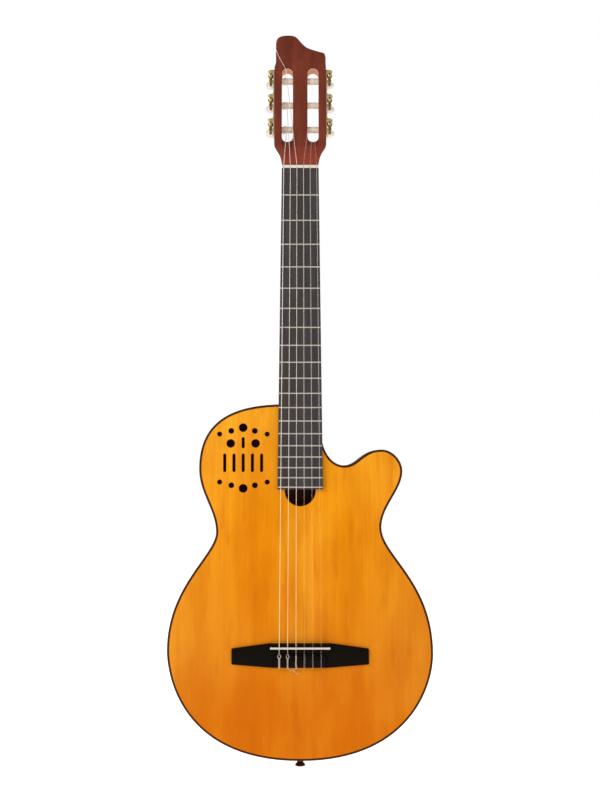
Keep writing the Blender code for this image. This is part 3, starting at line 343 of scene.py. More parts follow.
class Nodes:
    """A shader tree, with short ways to add the nodes that the finishes need."""

    def __init__(self, tree):
        self.tree = tree

    def feed(self, socket, value):
        """Gives a socket a link or a plain value."""
        if isinstance(value, bpy.types.NodeSocket):
            self.tree.links.new(value, socket)
        elif socket.type == "RGBA" and len(value) == 3:
            socket.default_value = (*value, 1)
        else:
            socket.default_value = value

    def add(self, kind, inputs=None, **settings):
        """A new node with its settings, and values for its inputs by name or number."""
        node = self.tree.nodes.new(kind)
        for name, value in settings.items():
            setattr(node, name, value)
        for name, value in (inputs or {}).items():
            self.feed(node.inputs[name], value)
        return node

    def math(self, operation, first, second=0.0):
        return self.add("ShaderNodeMath", {0: first, 1: second}, operation=operation).outputs[0]

    def times(self, first, second):
        return self.math("MULTIPLY", first, second)

    def plus(self, first, second):
        return self.math("ADD", first, second)

    def mix(self, factor, first, second, blend="MIX"):
        return self.add("ShaderNodeMix", {0: factor, 6: first, 7: second}, data_type="RGBA",
                        blend_type=blend).outputs[2]

    def spread(self, value, low, high, start=0.0, end=1.0):
        """Maps low to high onto start to end, and holds it there."""
        inputs = {"Value": value, "From Min": low, "From Max": high, "To Min": start,
                  "To Max": end}
        return self.add("ShaderNodeMapRange", inputs).outputs["Result"]

    def noise(self, vector, scale, detail=3.0, roughness=0.5, distortion=0.0):
        inputs = {"Vector": vector, "Scale": scale, "Detail": detail, "Roughness": roughness,
                  "Distortion": distortion}
        return self.add("ShaderNodeTexNoise", inputs).outputs["Fac"]

    def stretched(self, vector, across, deep, along):
        """Coordinates times three numbers; a small one draws the pattern out that way."""
        return self.add("ShaderNodeVectorMath", {0: vector, 1: (across, deep, along)},
                        operation="MULTIPLY").outputs[0]


def new_group(name, inputs, outputs):
    """A new group of a vector and numbers: its nodes, what goes in, and where results go."""
    group = bpy.data.node_groups.new(name, "ShaderNodeTree")
    sockets = group.interface
    sockets.new_socket(name="Vector", in_out="INPUT", socket_type="NodeSocketVector")
    for label, default in inputs.items():
        sockets.new_socket(name=label, in_out="INPUT",
                           socket_type="NodeSocketFloat").default_value = default
    for label in outputs:
        sockets.new_socket(name=label, in_out="OUTPUT", socket_type="NodeSocketFloat")
    nodes = Nodes(group)
    return nodes, nodes.add("NodeGroupInput").outputs, nodes.add("NodeGroupOutput").inputs


def wood_figure_group(name):
    """Figure of sawn wood along Z: fine grain, cloudy figure, open pores and broad lines."""
    nodes, given, results = new_group(
        name, {"Grain Scale": 300.0, "Figure Scale": 14.0, "Pore Scale": 900.0},
        ["Grain", "Figure", "Pores", "Lines"])
    broad_scale = nodes.times(given["Grain Scale"], 0.22)
    for result, drawn_out, scale, detail, roughness, low, high in (
            ("Grain", 0.03, given["Grain Scale"], 5.0, 0.6, 0.3, 0.7),
            ("Figure", 0.3, given["Figure Scale"], 4.0, 0.5, 0.28, 0.72),
            ("Pores", 0.06, given["Pore Scale"], 2.0, 0.5, 0.64, 0.72),
            ("Lines", 0.018, broad_scale, 3.0, 0.55, 0.35, 0.65)):
        vector = nodes.stretched(given["Vector"], 1.0, 1.0, drawn_out)
        pattern = nodes.noise(vector, scale, detail, roughness)
        nodes.feed(results[result], nodes.spread(pattern, low, high))


def handling_group(name):
    """Faint polish marks: a roughness that wanders round a base value."""
    nodes, given, results = new_group(name, {"Base": 0.3, "Spread": 0.06, "Scale": 40.0},
                                      ["Roughness"])
    marks = nodes.noise(given["Vector"], given["Scale"], 6.0, 0.65)
    wander = nodes.times(nodes.times(nodes.math("SUBTRACT", marks, 0.5), 2.0), given["Spread"])
    nodes.feed(results["Roughness"], nodes.plus(wander, given["Base"]))


group_makers = {"wood_figure": wood_figure_group, "handling_marks": handling_group}


class Look(Nodes):
    """A finish in the making: its material, its shader and its Object coordinates."""

    def __init__(self, name, roughness=0.4, metallic=0.0, specular=0.5):
        self.material = bpy.data.materials.new(name)
        self.material.use_nodes = True
        super().__init__(self.material.node_tree)
        self.shader = self.tree.nodes["Principled BSDF"]
        self.set({"Roughness": roughness, "Metallic": metallic, "Specular IOR Level": specular})
        self.place = self.add("ShaderNodeTexCoord").outputs["Object"]

    def set(self, values):
        for name, value in values.items():
            self.feed(self.shader.inputs[name], value)

    def colour(self, factor, first, second):
        """The base colour, mixed from two."""
        self.set({"Base Color": self.mix(factor, first, second)})

    def group(self, name, inputs):
        """What a shared group gives; the group is made the first time it is asked for."""
        if name not in bpy.data.node_groups:
            group_makers[name](name)
        inputs["Vector"] = self.place
        return self.add("ShaderNodeGroup", inputs, node_tree=bpy.data.node_groups[name]).outputs

    def wood(self, grain, figure=14.0, pores=900.0):
        return self.group("wood_figure",
                          {"Grain Scale": grain, "Figure Scale": figure, "Pore Scale": pores})

    def handled(self, roughness, scale=40.0, reach=0.06):
        marks = self.group("handling_marks", {"Base": roughness, "Spread": reach, "Scale": scale})
        self.set({"Roughness": marks["Roughness"]})

    def drawn(self, across, deep, along, scale, detail=3.0, roughness=0.5):
        """Noise in the object's own coordinates, drawn out along an axis."""
        return self.noise(self.stretched(self.place, across, deep, along), scale, detail,
                          roughness)

    def axes(self):
        """Place across the guitar, and height over the nut."""
        outputs = self.add("ShaderNodeSeparateXYZ", {"Vector": self.place}).outputs
        return outputs["X"], outputs["Z"]

    def bump(self, height, strength, distance=0.0002):
        inputs = {"Height": height, "Strength": strength, "Distance": distance}
        self.set({"Normal": self.add("ShaderNodeBump", inputs).outputs["Normal"]})

    def coat(self, weight, roughness):
        self.set({"Coat Weight": weight, "Coat Roughness": roughness})

    def waxy(self, weight, depths):
        self.set({"Subsurface Weight": weight, "Subsurface Radius": depths})


# Finishes: each maker takes the finish's name and the colours


def amber_top(name, colours):
    """Lacquered softwood: fine upright grain, cloudy figure, deeper to the lower treble side,
    partly its own tone and partly painted shade, and a painted highlight down its middle.
    """
    look = Look(name, 0.34, specular=0.03)
    figure = look.wood(420.0, 24.0)
    across, height = look.axes()
    # Light to middle to deep towards the tail: partly the wood's own tone, partly painted shade.
    high = look.mix(look.spread(height, -0.32, -0.47), colours.amber_light, colours.amber_middle)
    centre = look.mix(look.spread(height, -0.47, -0.70), high, colours.amber_deep)
    flank = look.spread(look.math("ABSOLUTE", across), 0.03, 0.18, 0.0, 0.42)
    fading = look.spread(height, -0.66, -0.76, 1.0, 0.15)
    base = look.mix(look.times(flank, fading), centre, colours.amber_flank)
    # Painted highlight: a pale band down the soundboard's middle, under the strings.
    off_middle = look.math("ABSOLUTE", look.math("SUBTRACT", across, 0.006))
    highlight_band = look.times(look.spread(off_middle, 0.012, 0.05, 0.62, 0.0),
                      look.spread(height, -0.44, -0.48))
    highlight_band = look.times(highlight_band, look.spread(height, -0.60, -0.73, 1.0, 0.25))
    # Pale amber: first the painted highlight band, then pale figure.
    for share in (highlight_band, look.spread(figure["Figure"], 0.55, 0.1, 0.0, 0.16)):
        base = look.mix(share, base, colours.amber_figure_and_highlight)
    streaks = look.drawn(1.0, 1.0, 0.16, 70.0)
    darker = [look.spread(figure["Figure"], 0.35, 1.0, 0.0, 0.42),
              look.spread(streaks, 0.56, 0.72, 0.0, 0.36)]
    darker += [look.times(figure[part], 0.2) for part in ("Lines", "Grain", "Pores")]
    for share in darker:
        base = look.mix(share, base, colours.amber_grain)
    look.set({"Base Color": base})
    look.handled(0.34)
    look.bump(figure["Grain"], 0.05)
    look.coat(0.025, 0.1)
    return look.material


def mahogany(name, colours, coat, gloss=0.0, glow=0.0):
    """Mahogany: brown-red streaks along the grain, with open pores."""
    look = Look(name, 0.42, specular=0.08)
    figure = look.wood(300.0, 12.0, 700.0)
    share = look.plus(look.times(figure["Lines"], 0.6), look.times(figure["Figure"], 0.4))
    base = look.mix(share, colours.mahogany, colours.mahogany_deep)
    base = look.mix(look.times(figure["Grain"], 0.4), base, colours.mahogany_deep)
    base = look.mix(look.times(figure["Pores"], 0.55), base, shaded(colours.mahogany_deep, 0.45))
    height = look.axes()[1]
    foot = look.times(look.spread(height, 0.036, 0.004), glow)
    look.colour(foot, base, colours.mahogany_glow)
    look.handled(0.42 - gloss)
    look.bump(figure["Pores"], -0.12)
    look.coat(coat, 0.16)
    return look.material


def plain_wood(name, colours, roughness):
    """Unfigured wood in the tint of the same name, with its fine grain."""
    look = Look(name, roughness, specular=0.05)
    figure = look.wood(420.0)
    colour = getattr(colours, name)
    look.colour(look.times(figure["Grain"], 0.6), colour, shaded(colour, 0.7))
    look.handled(roughness)
    look.bump(figure["Grain"], 0.08)
    return look.material


def rosewood(name, colours):
    """Oiled dark fingerboard wood, with fine pale streaks along it."""
    look = Look(name, 0.5, specular=0.3)
    figure = look.wood(520.0, 16.0, 1100.0)
    share = look.plus(look.times(figure["Lines"], 0.5), look.times(figure["Grain"], 0.5))
    base = look.mix(share, colours.rosewood, colours.rosewood_deep)
    look.colour(figure["Pores"], base, shaded(colours.rosewood_deep, 0.35))
    look.handled(0.5, 60.0)
    look.bump(figure["Grain"], 0.12)
    return look.material


def ebony(name, colours):
    """Nearly black bridge wood, oiled, with a faint grain across the guitar."""
    look = Look(name, 0.4, specular=0.04)
    grain = look.drawn(0.06, 1.0, 1.0, 520.0, 4.0, 0.6)
    look.colour(look.spread(grain, 0.35, 0.7, 0.0, 0.6), colours.ebony, shaded(colours.ebony, 1.8))
    look.handled(0.38, 90.0)
    look.bump(grain, 0.1)
    return look.material


def dark_binding(name, colours):
    """Dark lacquered binding strip, mottled a little along its length."""
    look = Look(name, 0.3, specular=0.1)
    mottle = look.noise(look.place, 60.0, 4.0, 0.6)
    look.colour(look.spread(mottle, 0.35, 0.7, 0.0, 0.8), colours.trim, shaded(colours.trim, 1.9))
    look.handled(0.3)
    look.coat(0.04, 0.1)
    return look.material


def polished_bone(name, colours):
    """Polished bone: cream with faint darker streaks and specks."""
    look = Look(name, 0.32)
    streaks = look.drawn(0.25, 1.0, 1.0, 700.0, 4.0, 0.6)
    look.colour(look.spread(streaks, 0.45, 0.75, 0.0, 0.5), colours.bone,
                shaded(colours.bone, 0.86, 0.78, 0.62))
    look.handled(0.3, 200.0)
    look.waxy(0.08, (0.002, 0.0012, 0.0007))
    return look.material


def metal(name, colours, bright, deep, deepened, roughness, scale, metallic=1.0):
    """Polished metal with fine brushing and a little tarnish."""
    look = Look(name, roughness, metallic)
    tarnish = look.noise(look.place, scale, 5.0, 0.6)
    look.colour(look.spread(tarnish, 0.42, 0.72, 0.0, 0.7), getattr(colours, bright),
                shaded(getattr(colours, deep), deepened))
    look.handled(roughness, scale * 3, 0.1)
    look.bump(look.drawn(1.0, 1.0, 0.08, 3000.0, 2.0), 0.06, 0.0001)
    return look.material


def pearl_button(name, colours):
    """Cream pearl plastic: soft swirls between a warm and a cool cream."""
    look = Look(name, 0.22)
    swirl = look.noise(look.place, 130.0, 4.0, distortion=1.6)
    look.colour(look.spread(swirl, 0.35, 0.68), colours.pearl,
                shaded(colours.pearl, 0.74, 0.7, 0.7))
    look.handled(0.2, 120.0)
    look.waxy(0.15, (0.003, 0.0022, 0.0016))
    look.coat(0.6, 0.05)
    return look.material


def roller_plastic(name, colours):
    """White moulded plastic of the rollers, a little worn by the strings."""
    look = Look(name, 0.35)
    wear = look.drawn(1.0, 0.3, 0.3, 900.0, 4.0)
    look.colour(look.spread(wear, 0.45, 0.75, 0.0, 0.8), colours.barrel,
                shaded(colours.barrel, 0.72))
    look.handled(0.34, 300.0)
    return look.material


def nylon_line(name, colours):
    """Clear nylon: half see-through, with a little cloud in it; over the top it takes a painted
    reflection of the amber, and painted shade makes it fainter over the head, the top and the
    bridge.
    """
    look = Look(name, 0.2, specular=0.3)
    height = look.axes()[1]
    # Painted reflection: the amber top's colour put into the nylon over the top and behind the tie
    # block.
    top_reflection_mask = look.times(look.spread(height, -0.45, -0.44, 1.0, 0.0),
                      look.spread(height, -0.648, -0.642))
    top_reflection_mask = look.plus(top_reflection_mask, look.spread(height, -0.681, -0.679, 1.0, 0.0))
    cloud = look.noise(look.place, 400.0)
    clear = look.mix(cloud, colours.nylon, shaded(colours.nylon, 0.82))
    look.colour(top_reflection_mask, clear, colours.nylon_amber_reflection)
    # Painted shade: the nylon is made more see-through over the head, the top and the bridge, where
    # it looks dimmer.
    over_head = look.spread(height, 0.003, 0.008, 0.0, 0.26)
    over_top = look.times(look.spread(height, -0.438, -0.432, 0.23, 0.0),
                          look.spread(height, -0.648, -0.642, 1.17, 1.0))
    over_top = look.times(over_top, look.spread(height, -0.682, -0.680, 0.3, 1.0))
    look.set({"Alpha": look.math("SUBTRACT", 0.36, look.plus(over_head, over_top))})
    return look.material


def wound_silver(name, colours):
    """Silvered wire wound on the bass strings: fine rings across the string, with painted shade in
    their grooves, a painted reflection of the amber top over it and painted shade on the ties at
    the bridge.
    """
    look = Look(name, 0.34, 0.4)
    wire = 0.24 * mm
    height = look.axes()[1]
    rings = look.math("SINE", look.times(height, 2 * math.pi / wire))
    # Painted reflection: the silver takes the amber top's colour over the top and behind the tie
    # block.
    over_top = look.times(look.spread(height, -0.45, -0.43, 1.0, 0.0),
                          look.spread(height, -0.65, -0.64))
    silver_with_painted_light = look.mix(over_top, colours.wound, colours.wound_amber_reflection)
    # Painted shade: the silver is dimmer where the strings are tied at the bridge.
    silver_with_painted_light = look.mix(look.spread(height, -0.655, -0.65, 1.0, 0.0), silver_with_painted_light, colours.wound_bridge_shade)
    silver_with_painted_light = look.mix(look.spread(height, -0.681, -0.679, 1.0, 0.0), silver_with_painted_light, colours.wound_amber_reflection)
    # Painted shade in the grooves between the wire's turns, fainter over the top.
    groove_shade = look.mix(over_top, (0.42, 0.42, 0.42), (0.95, 0.95, 0.95))
    shaded_groove = look.mix(1.0, silver_with_painted_light, groove_shade, "MULTIPLY")
    look.colour(look.spread(rings, -1.0, 0.2), shaded_groove, silver_with_painted_light)
    look.handled(0.34, 500.0)
    look.bump(rings, 0.5, 0.00006)
    return look.material


def raw_spruce(name, colours):
    """Raw spruce of the braces: pale, with darker growth lines."""
    look = Look(name, 0.75)
    figure = look.wood(380.0)
    look.colour(figure["Grain"], colours.spruce, shaded(colours.spruce, 0.7, 0.6, 0.5))
    look.bump(figure["Grain"], 0.15, 0.0003)
    return look.material


def white_paper(name, colours):
    """Matt white paper, with the faintest unevenness."""
    look = Look(name, 0.9, specular=0.1)
    look.set({"Emission Color": (1, 1, 1, 1), "Emission Strength": 0.7})
    look.colour(look.noise(look.place, 3.0, 2.0), (0.93, 0.93, 0.93), (0.9, 0.9, 0.9))
    return look.material


finish_makers = {
    "amber_lacquer": amber_top,
    "mahogany_satin": partial(mahogany, coat=0.04),
    "mahogany_gloss": partial(mahogany, coat=0.05, gloss=0.06),
    "veneer_gloss": partial(mahogany, coat=0.05, gloss=0.06, glow=0.42),
    "mahogany_edge": partial(mahogany, coat=0.4, gloss=0.06),
    # Slot walls: bare mahogany, partly its own paler tone, partly painted light.
    "mahogany_raw": partial(plain_wood, roughness=0.7),
    "veneer_edge": partial(plain_wood, roughness=0.4),
    "rosewood": rosewood,
    "ebony": ebony,
    "dark_binding": dark_binding,
    "polished_bone": polished_bone,
    "fret_metal": partial(metal, bright="fret", deep="fret", deepened=0.85, roughness=0.28,
                          scale=300.0, metallic=0.2),
    "gilt": partial(metal, bright="gilt", deep="gilt_deep", deepened=1.0, roughness=0.26,
                    scale=260.0, metallic=0.7),
    "gilt_dark": partial(metal, bright="gilt_deep", deep="gilt_deep", deepened=0.5,
                         roughness=0.34, scale=400.0),
    "pearl_button": pearl_button,
    "roller_plastic": roller_plastic,
    "nylon_line": nylon_line,
    "wound_silver": wound_silver,
    "raw_spruce": raw_spruce,
    "white_paper": white_paper,
}


def finish(name):
    """The material of that name, made the first time it is asked for."""
    if name in bpy.data.materials:
        return bpy.data.materials[name]
    return finish_makers[name](name, bpy.context.scene.guitar_colours)


# Mesh helpers


def clean(bm):
    """Joins the corners that meet, and turns all faces outwards."""
    bmesh.ops.remove_doubles(bm, verts=bm.verts, dist=weld_distance)
    bmesh.ops.recalc_face_normals(bm, faces=bm.faces)


def add_piece(bm, name, material, body="root", replaces=(),
              angle=sharp_angle):
    """Makes the finished piece from a bmesh, and puts it on its body."""
    clean(bm)
    mesh = bpy.data.meshes.new(name)
    bm.to_mesh(mesh)
    bm.free()
    mesh.materials.append(finish(material))
    mesh.shade_smooth()
    mesh.set_sharp_from_angle(angle=math.radians(angle))
    piece = bpy.data.objects.new(name, mesh)
    bpy.context.scene.collection.objects.link(piece)
    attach(piece, body)
    if replaces:
        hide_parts(*replaces)
    return piece


def dress(node, material, bevel=0.0):
    """A CAD node that stays gets its finish, and its edges broken if it asks for it."""
    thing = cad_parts[node]
    thing.data.materials.clear()
    thing.data.materials.append(finish(material))
    if bevel:
        rounding = thing.modifiers.new("broken_edges", "BEVEL")
        rounding.width = bevel
        rounding.segments = 2
        rounding.limit_method = "ANGLE"
        rounding.angle_limit = math.radians(sharp_angle)


def smooth_path(points, steps, closed=False):
    """A curve through the points with rounded corners, open or closed."""
    points = [Vector(point) for point in points]
    count = len(points)
    path = []
    for i in range(count if closed else count - 1):
        around = (i - 1, i, i + 1, i + 2)
        before, here, there, after = (
            points[j % count if closed else min(max(j, 0), count - 1)] for j in around)
        reach = (there - here).length / 3
        out = (there - before).normalized() * reach
        into = (after - here).normalized() * reach
        path += interpolate_bezier(here, here + out, there - into, there, steps + 1)[:-1]
    return path if closed else path + [points[-1]]


def add_loop(bm, points, depth=None):
    """A closed loop of edges through the points, at their own depth or at a given one."""
    verts = [bm.verts.new((p[0], p[1] if depth is None else depth, p[2])) for p in points]
    return [bm.edges.new(pair) for pair in zip(verts, verts[1:] + verts[:1])]


def add_circle(bm, across, up, radius, depth, segments=32, stretch=0.0):
    """A round loop that faces the front, or a long one where it is stretched up and down."""
    turn = Matrix.Rotation(math.pi / 2, 4, "X") @ Matrix.Rotation(math.pi / segments, 4, "Z")
    made = bmesh.ops.create_circle(bm, segments=segments, radius=radius,
                                   matrix=Matrix.Translation((across, depth, up)) @ turn)["verts"]
    for half in (1, -1):
        side = [vert for vert in made if (vert.co.z - up) * half > 0]
        bmesh.ops.translate(bm, verts=side, vec=(0, 0, stretch * half))
    return list({edge for vert in made for edge in vert.link_edges})


def inset_points(points, distance):
    """The outline moved inwards by a distance."""
    if not distance:
        return list(points)
    bm = bmesh.new()
    face = bm.faces.new([bm.verts.new(point) for point in points])
    face.normal_update()
    bmesh.ops.inset_region(bm, faces=[face], thickness=distance, use_even_offset=True,
                           use_boundary=True)
    inner = [vert.co.copy() for vert in face.verts]
    bm.free()
    return inner


def of_kind(items, kind):
    return [item for item in items if isinstance(item, kind)]


def fill_plate(bm, edges, end, rounding, steps=3):
    """Fills the loops of edges, thickens them to y = end, and rounds the edges over there."""
    start = edges[0].verts[0].co.y
    filled = bmesh.ops.triangle_fill(bm, edges=edges, use_beauty=True, use_dissolve=False)
    faces = of_kind(filled["geom"], bmesh.types.BMFace)
    bmesh.ops.recalc_face_normals(bm, faces=faces)
    grown = bmesh.ops.extrude_face_region(bm, geom=faces, use_keep_orig=True)["geom"]
    top = of_kind(grown, bmesh.types.BMFace)
    way = 1 if end > start else -1
    bmesh.ops.translate(bm, verts=of_kind(grown, bmesh.types.BMVert),
                        vec=(0, end - start - way * rounding, 0))
    for i in range(steps):
        before, after = math.pi / 2 * i / steps, math.pi / 2 * (i + 1) / steps
        across = rounding * (math.cos(before) - math.cos(after))
        up = rounding * (math.sin(after) - math.sin(before))
        bmesh.ops.inset_region(bm, faces=top, thickness=across, use_even_offset=True)
        moved = list({vert for face in top for vert in face.verts})
        bmesh.ops.translate(bm, verts=moved, vec=(0, way * up, 0))


def sweep_ring(bm, points, section):
    """A ring that follows an outline, from (inset, depth) pairs of its cross section."""
    edges = add_loop(bm, inset_points(points, section[0][0]), section[0][1])
    ring = [edge.verts[0] for edge in edges]
    for inset, depth in section[1:] + section[:1]:
        grown = bmesh.ops.extrude_edge_only(bm, edges=edges)["geom"]
        fresh = set(of_kind(grown, bmesh.types.BMVert))
        edges = [edge for edge in of_kind(grown, bmesh.types.BMEdge)
                 if fresh.issuperset(edge.verts)]
        ring = [next(edge.other_vert(vert) for edge in vert.link_edges
                     if edge.other_vert(vert) in fresh) for vert in ring]
        for vert, place in zip(ring, inset_points(points, inset)):
            vert.co = (place[0], depth, place[2])


def loft(bm, loops):
    """A closed solid through a row of loops of edges."""
    for near, far in zip(loops, loops[1:]):
        bmesh.ops.bridge_loops(bm, edges=near + far)
    for end in (loops[0], loops[-1]):
        bmesh.ops.edgeloop_fill(bm, edges=end)


def push_out(bm, corners, move):
    """A solid from the corners of a flat face, pushed out along a vector."""
    face = bm.faces.new([bm.verts.new(corner) for corner in corners])
    grown = bmesh.ops.extrude_face_region(bm, geom=[face])["geom"]
    bmesh.ops.translate(bm, verts=of_kind(grown, bmesh.types.BMVert), vec=move)
    bmesh.ops.recalc_face_normals(bm, faces=bm.faces)


def round_off(bm, edges, offset, segments=3, clamp=True):
    """Rounds the edges over."""
    bmesh.ops.bevel(bm, geom=list(edges), offset=offset, affect="EDGES", segments=segments,
                    profile=0.5, material=-1, clamp_overlap=clamp)


def turn_profile(bm, profile, steps, place, squeeze=1.0):
    """A solid turned about Z from (height, radius) pairs in millimetres, flattened along Y."""
    line = [bm.verts.new((radius * mm, 0, height * mm)) for height, radius in profile]
    edges = [bm.edges.new(pair) for pair in zip(line, line[1:])]
    turned = bmesh.ops.spin(bm, geom=line + edges, cent=(0, 0, 0), axis=(0, 0, 1), dvec=(0, 0, 0),
                            angle=2 * math.pi, steps=steps, use_merge=True)
    verts = set(line)
    front = of_kind(turned["geom_last"], bmesh.types.BMVert) + line
    while front:
        vert = front.pop()
        fresh = {edge.other_vert(vert) for edge in vert.link_edges} - verts
        verts |= fresh
        front += fresh
    bmesh.ops.transform(bm, matrix=place @ Matrix.Diagonal((1, squeeze, 1, 1)), verts=list(verts))


def add_block(bm, low, high, rounding=0.0, segments=3, place=Matrix.Identity(4)):
    """A block between two corners, with all its edges rounded."""
    size = [top - bottom for bottom, top in zip(low, high)]
    middle = [(top + bottom) / 2 for bottom, top in zip(low, high)]
    matrix = place @ Matrix.Translation(middle) @ Matrix.Diagonal((*size, 1))
    made = bmesh.ops.create_cube(bm, size=1.0, matrix=matrix)["verts"]
    if rounding:
        round_off(bm, {edge for vert in made for edge in vert.link_edges}, rounding, segments)
    return made


def join(bm, part):
    """Adds one bmesh to another, and uses it up."""
    bmesh.ops.recalc_face_normals(part, faces=part.faces)
    mesh = bpy.data.meshes.new("part")
    part.to_mesh(mesh)
    part.free()
    bm.from_mesh(mesh)
    bpy.data.meshes.remove(mesh)


def evaluated(thing):
    bpy.context.view_layer.update()
    return thing.evaluated_get(bpy.context.evaluated_depsgraph_get())


def boolean(bm, tool, operation="DIFFERENCE"):
    """The solid cut by, or joined to, a tool; both bmeshes are used up."""
    things = []
    for source in (bm, tool):
        clean(source)
        mesh = bpy.data.meshes.new("blank")
        source.to_mesh(mesh)
        source.free()
        thing = bpy.data.objects.new("blank", mesh)
        bpy.context.scene.collection.objects.link(thing)
        things.append(thing)
    cut = things[0].modifiers.new("cut", "BOOLEAN")
    cut.object = things[1]
    cut.operation = operation
    cut.solver = "EXACT"
    result = bmesh.new()
    result.from_mesh(evaluated(things[0]).data)
    for thing in things:
        mesh = thing.data
        bpy.data.objects.remove(thing, do_unlink=True)
        bpy.data.meshes.remove(mesh)
    return result


def tube(bm, path, radius, resolution):
    """A round wire along a path, with closed ends, added to a bmesh."""
    curve = bpy.data.curves.new("wire", "CURVE")
    curve.dimensions = "3D"
    curve.bevel_depth = radius
    curve.bevel_resolution = resolution
    curve.use_fill_caps = True
    spline = curve.splines.new("POLY")
    spline.points.add(len(path) - 1)
    for point, place in zip(spline.points, path):
        point.co = (*place, 1)
    helper = bpy.data.objects.new("wire", curve)
    bpy.context.scene.collection.objects.link(helper)
    mesh = bpy.data.meshes.new_from_object(evaluated(helper))
    bm.from_mesh(mesh)
    bpy.data.objects.remove(helper, do_unlink=True)
    bpy.data.curves.remove(curve)
    bpy.data.meshes.remove(mesh)


# Places on the guitar


def sizes():
    """Settings of the body, the neck and the headstock."""
    scene = bpy.context.scene
    return scene.guitar_body, scene.guitar_neck, scene.guitar_head


def head_matrix():
    """From the tilted headstock's own frame to the guitar's."""
    neck, head = sizes()[1:]
    return Matrix.Translation((0, 0, neck.nut_thickness)) @ Matrix.Rotation(-head.tilt, 4, "X")


def body_outline():
    """The body's outer edge, from the bass side of the neck round the tail."""
    top = -sizes()[0].top_drop
    corners = []
    for anchor in body_anchors:
        place = Vector((anchor.across * mm, 0, top - anchor.drop * mm))
        angle = math.radians(anchor.heading)
        corners.append((place, Vector((math.cos(angle), 0, -math.sin(angle))), anchor))
    points = []
    for (here, out, start), (there, into, end) in zip(corners, corners[1:]):
        points += interpolate_bezier(here, here + out * start.after * mm,
                                     there - into * end.before * mm, there, outline_steps + 1)[:-1]
    last = corners[-1][0]
    return points + [last, Vector((last.x, 0, top))]


def board_half_width(drop):
    """Half the fingerboard's width at a drop below the nut."""
    neck = sizes()[1]
    share = drop / neck.board_length
    return (neck.board_nut * (1 - share) + neck.board_end * share) / 2


def string_place(number, drop):
    """Where a string's centre is at a drop below the nut."""
    neck = sizes()[1]
    share = drop / (neck.scale + neck.setback)
    across = string_shares[number] * (neck.span_nut * (1 - share) + neck.span_saddle * share)
    rise = (neck.board_height + neck.nut_string) * (1 - share) + neck.saddle_string * share
    return Vector((across, -rise, -drop))


def side_of(number):
    """Which side of the headstock a string goes to: 1 for treble, -1 for bass."""
    return 1 if number < string_count / 2 else -1


def roller_height(number):
    """Outer strings go to the rollers nearest the nut, the middle ones to the farthest."""
    head = sizes()[2]
    return head.roller_low + min(number, string_count - 1 - number) * head.roller_pitch


def machine_matrix(number, rise=0.0):
    """The place of a string's tuning machine: origin on the roller's axis, at the gear."""
    head = sizes()[2]
    place = (side_of(number) * head.gear_middle, head.roller_depth, roller_height(number) + rise)
    return head_matrix() @ Matrix.Translation(place)


# Body


class GUITAR_OT_soundboard(Operator):
    """Soundboard with its round and long ports and its half-moon hole"""

    bl_idname = "guitar.soundboard"
    bl_label = "Soundboard"

    def execute(self, context):
        body, neck = sizes()[:2]
        tuck = 2 * mm
        bm = bmesh.new()
        edges = add_loop(bm, inset_points(body_outline(), body.binding_width), body.board)
        ports = [(across, drop, size, size, 32) for across, drop, size in round_ports]
        ports += [(*port, 24) for port in slot_ports]
        for across, drop, width, tall, sides in ports:
            edges += add_circle(bm, across * mm, -body.top_drop - drop * mm, width / 2 * mm,
                                body.board, sides, (tall - width) / 2 * mm)
        middle = -neck.board_length - body.moon_depth + body.moon_radius
        moon = add_circle(bm, 0, middle, body.moon_radius, body.board, 64)
        for vert in {vert for edge in moon for vert in edge.verts}:
            if vert.co.z > middle:
                vert.co.z = min(tuck - neck.board_length, vert.co.z)
        fill_plate(bm, edges + moon, 0.0, body.hole_edge)
        add_piece(bm, "top_board", "amber_lacquer", replaces=["soundboard"])
        return {"FINISHED"}


class GUITAR_OT_sides(Operator):
    """Sides, back and the dark bindings at the front and at the back"""

    bl_idname = "guitar.sides"
    bl_label = "Sides, Back and Bindings"

    def execute(self, context):
        body = sizes()[0]
        outline = body_outline()
        back = body.depth
        width, tall, edge = body.binding_width, body.binding_height, body.edge
        inner = back - body.board
        lip = 0.1 * mm
        bm = bmesh.new()
        sweep_ring(bm, outline, [(0, tall), (width, tall), (width, body.board),
                                 (body.wall, body.board), (body.wall, inner), (width, inner),
                                 (width, back - tall), (0, back - tall)])
        add_piece(bm, "side_walls", "mahogany_satin", replaces=["rim"])
        bm = bmesh.new()
        fill_plate(bm, add_loop(bm, inset_points(outline, width), inner), back, 2 * lip)
        add_piece(bm, "back_board", "mahogany_satin", replaces=["back"])
        bend = [(edge * (1 - math.cos(a)), edge * (1 - math.sin(a)))
                for a in (math.pi / 2 * i / 4 for i in range(5))]
        for name, node, face, way in (("front_binding", ["top_binding"], 0.0, 1),
                                      ("back_binding", [], back, -1)):
            section = [(inset, face + way * depth) for inset, depth in bend]
            section += [(width - lip, face), (width, face + way * lip),
                        (width, face + way * tall), (0, face + way * tall)]
            bm = bmesh.new()
            sweep_ring(bm, outline, section)
            add_piece(bm, name, "dark_binding", replaces=node)
        return {"FINISHED"}


class GUITAR_OT_inside(Operator):
    """Blocks and braces inside the body"""

    bl_idname = "guitar.inside"
    bl_label = "Blocks and Braces"

    def execute(self, context):
        dress("neck_block", "mahogany_satin", 0.6 * mm)
        dress("tail_block", "mahogany_satin")
        dress("brace_frame", "raw_spruce")
        return {"FINISHED"}


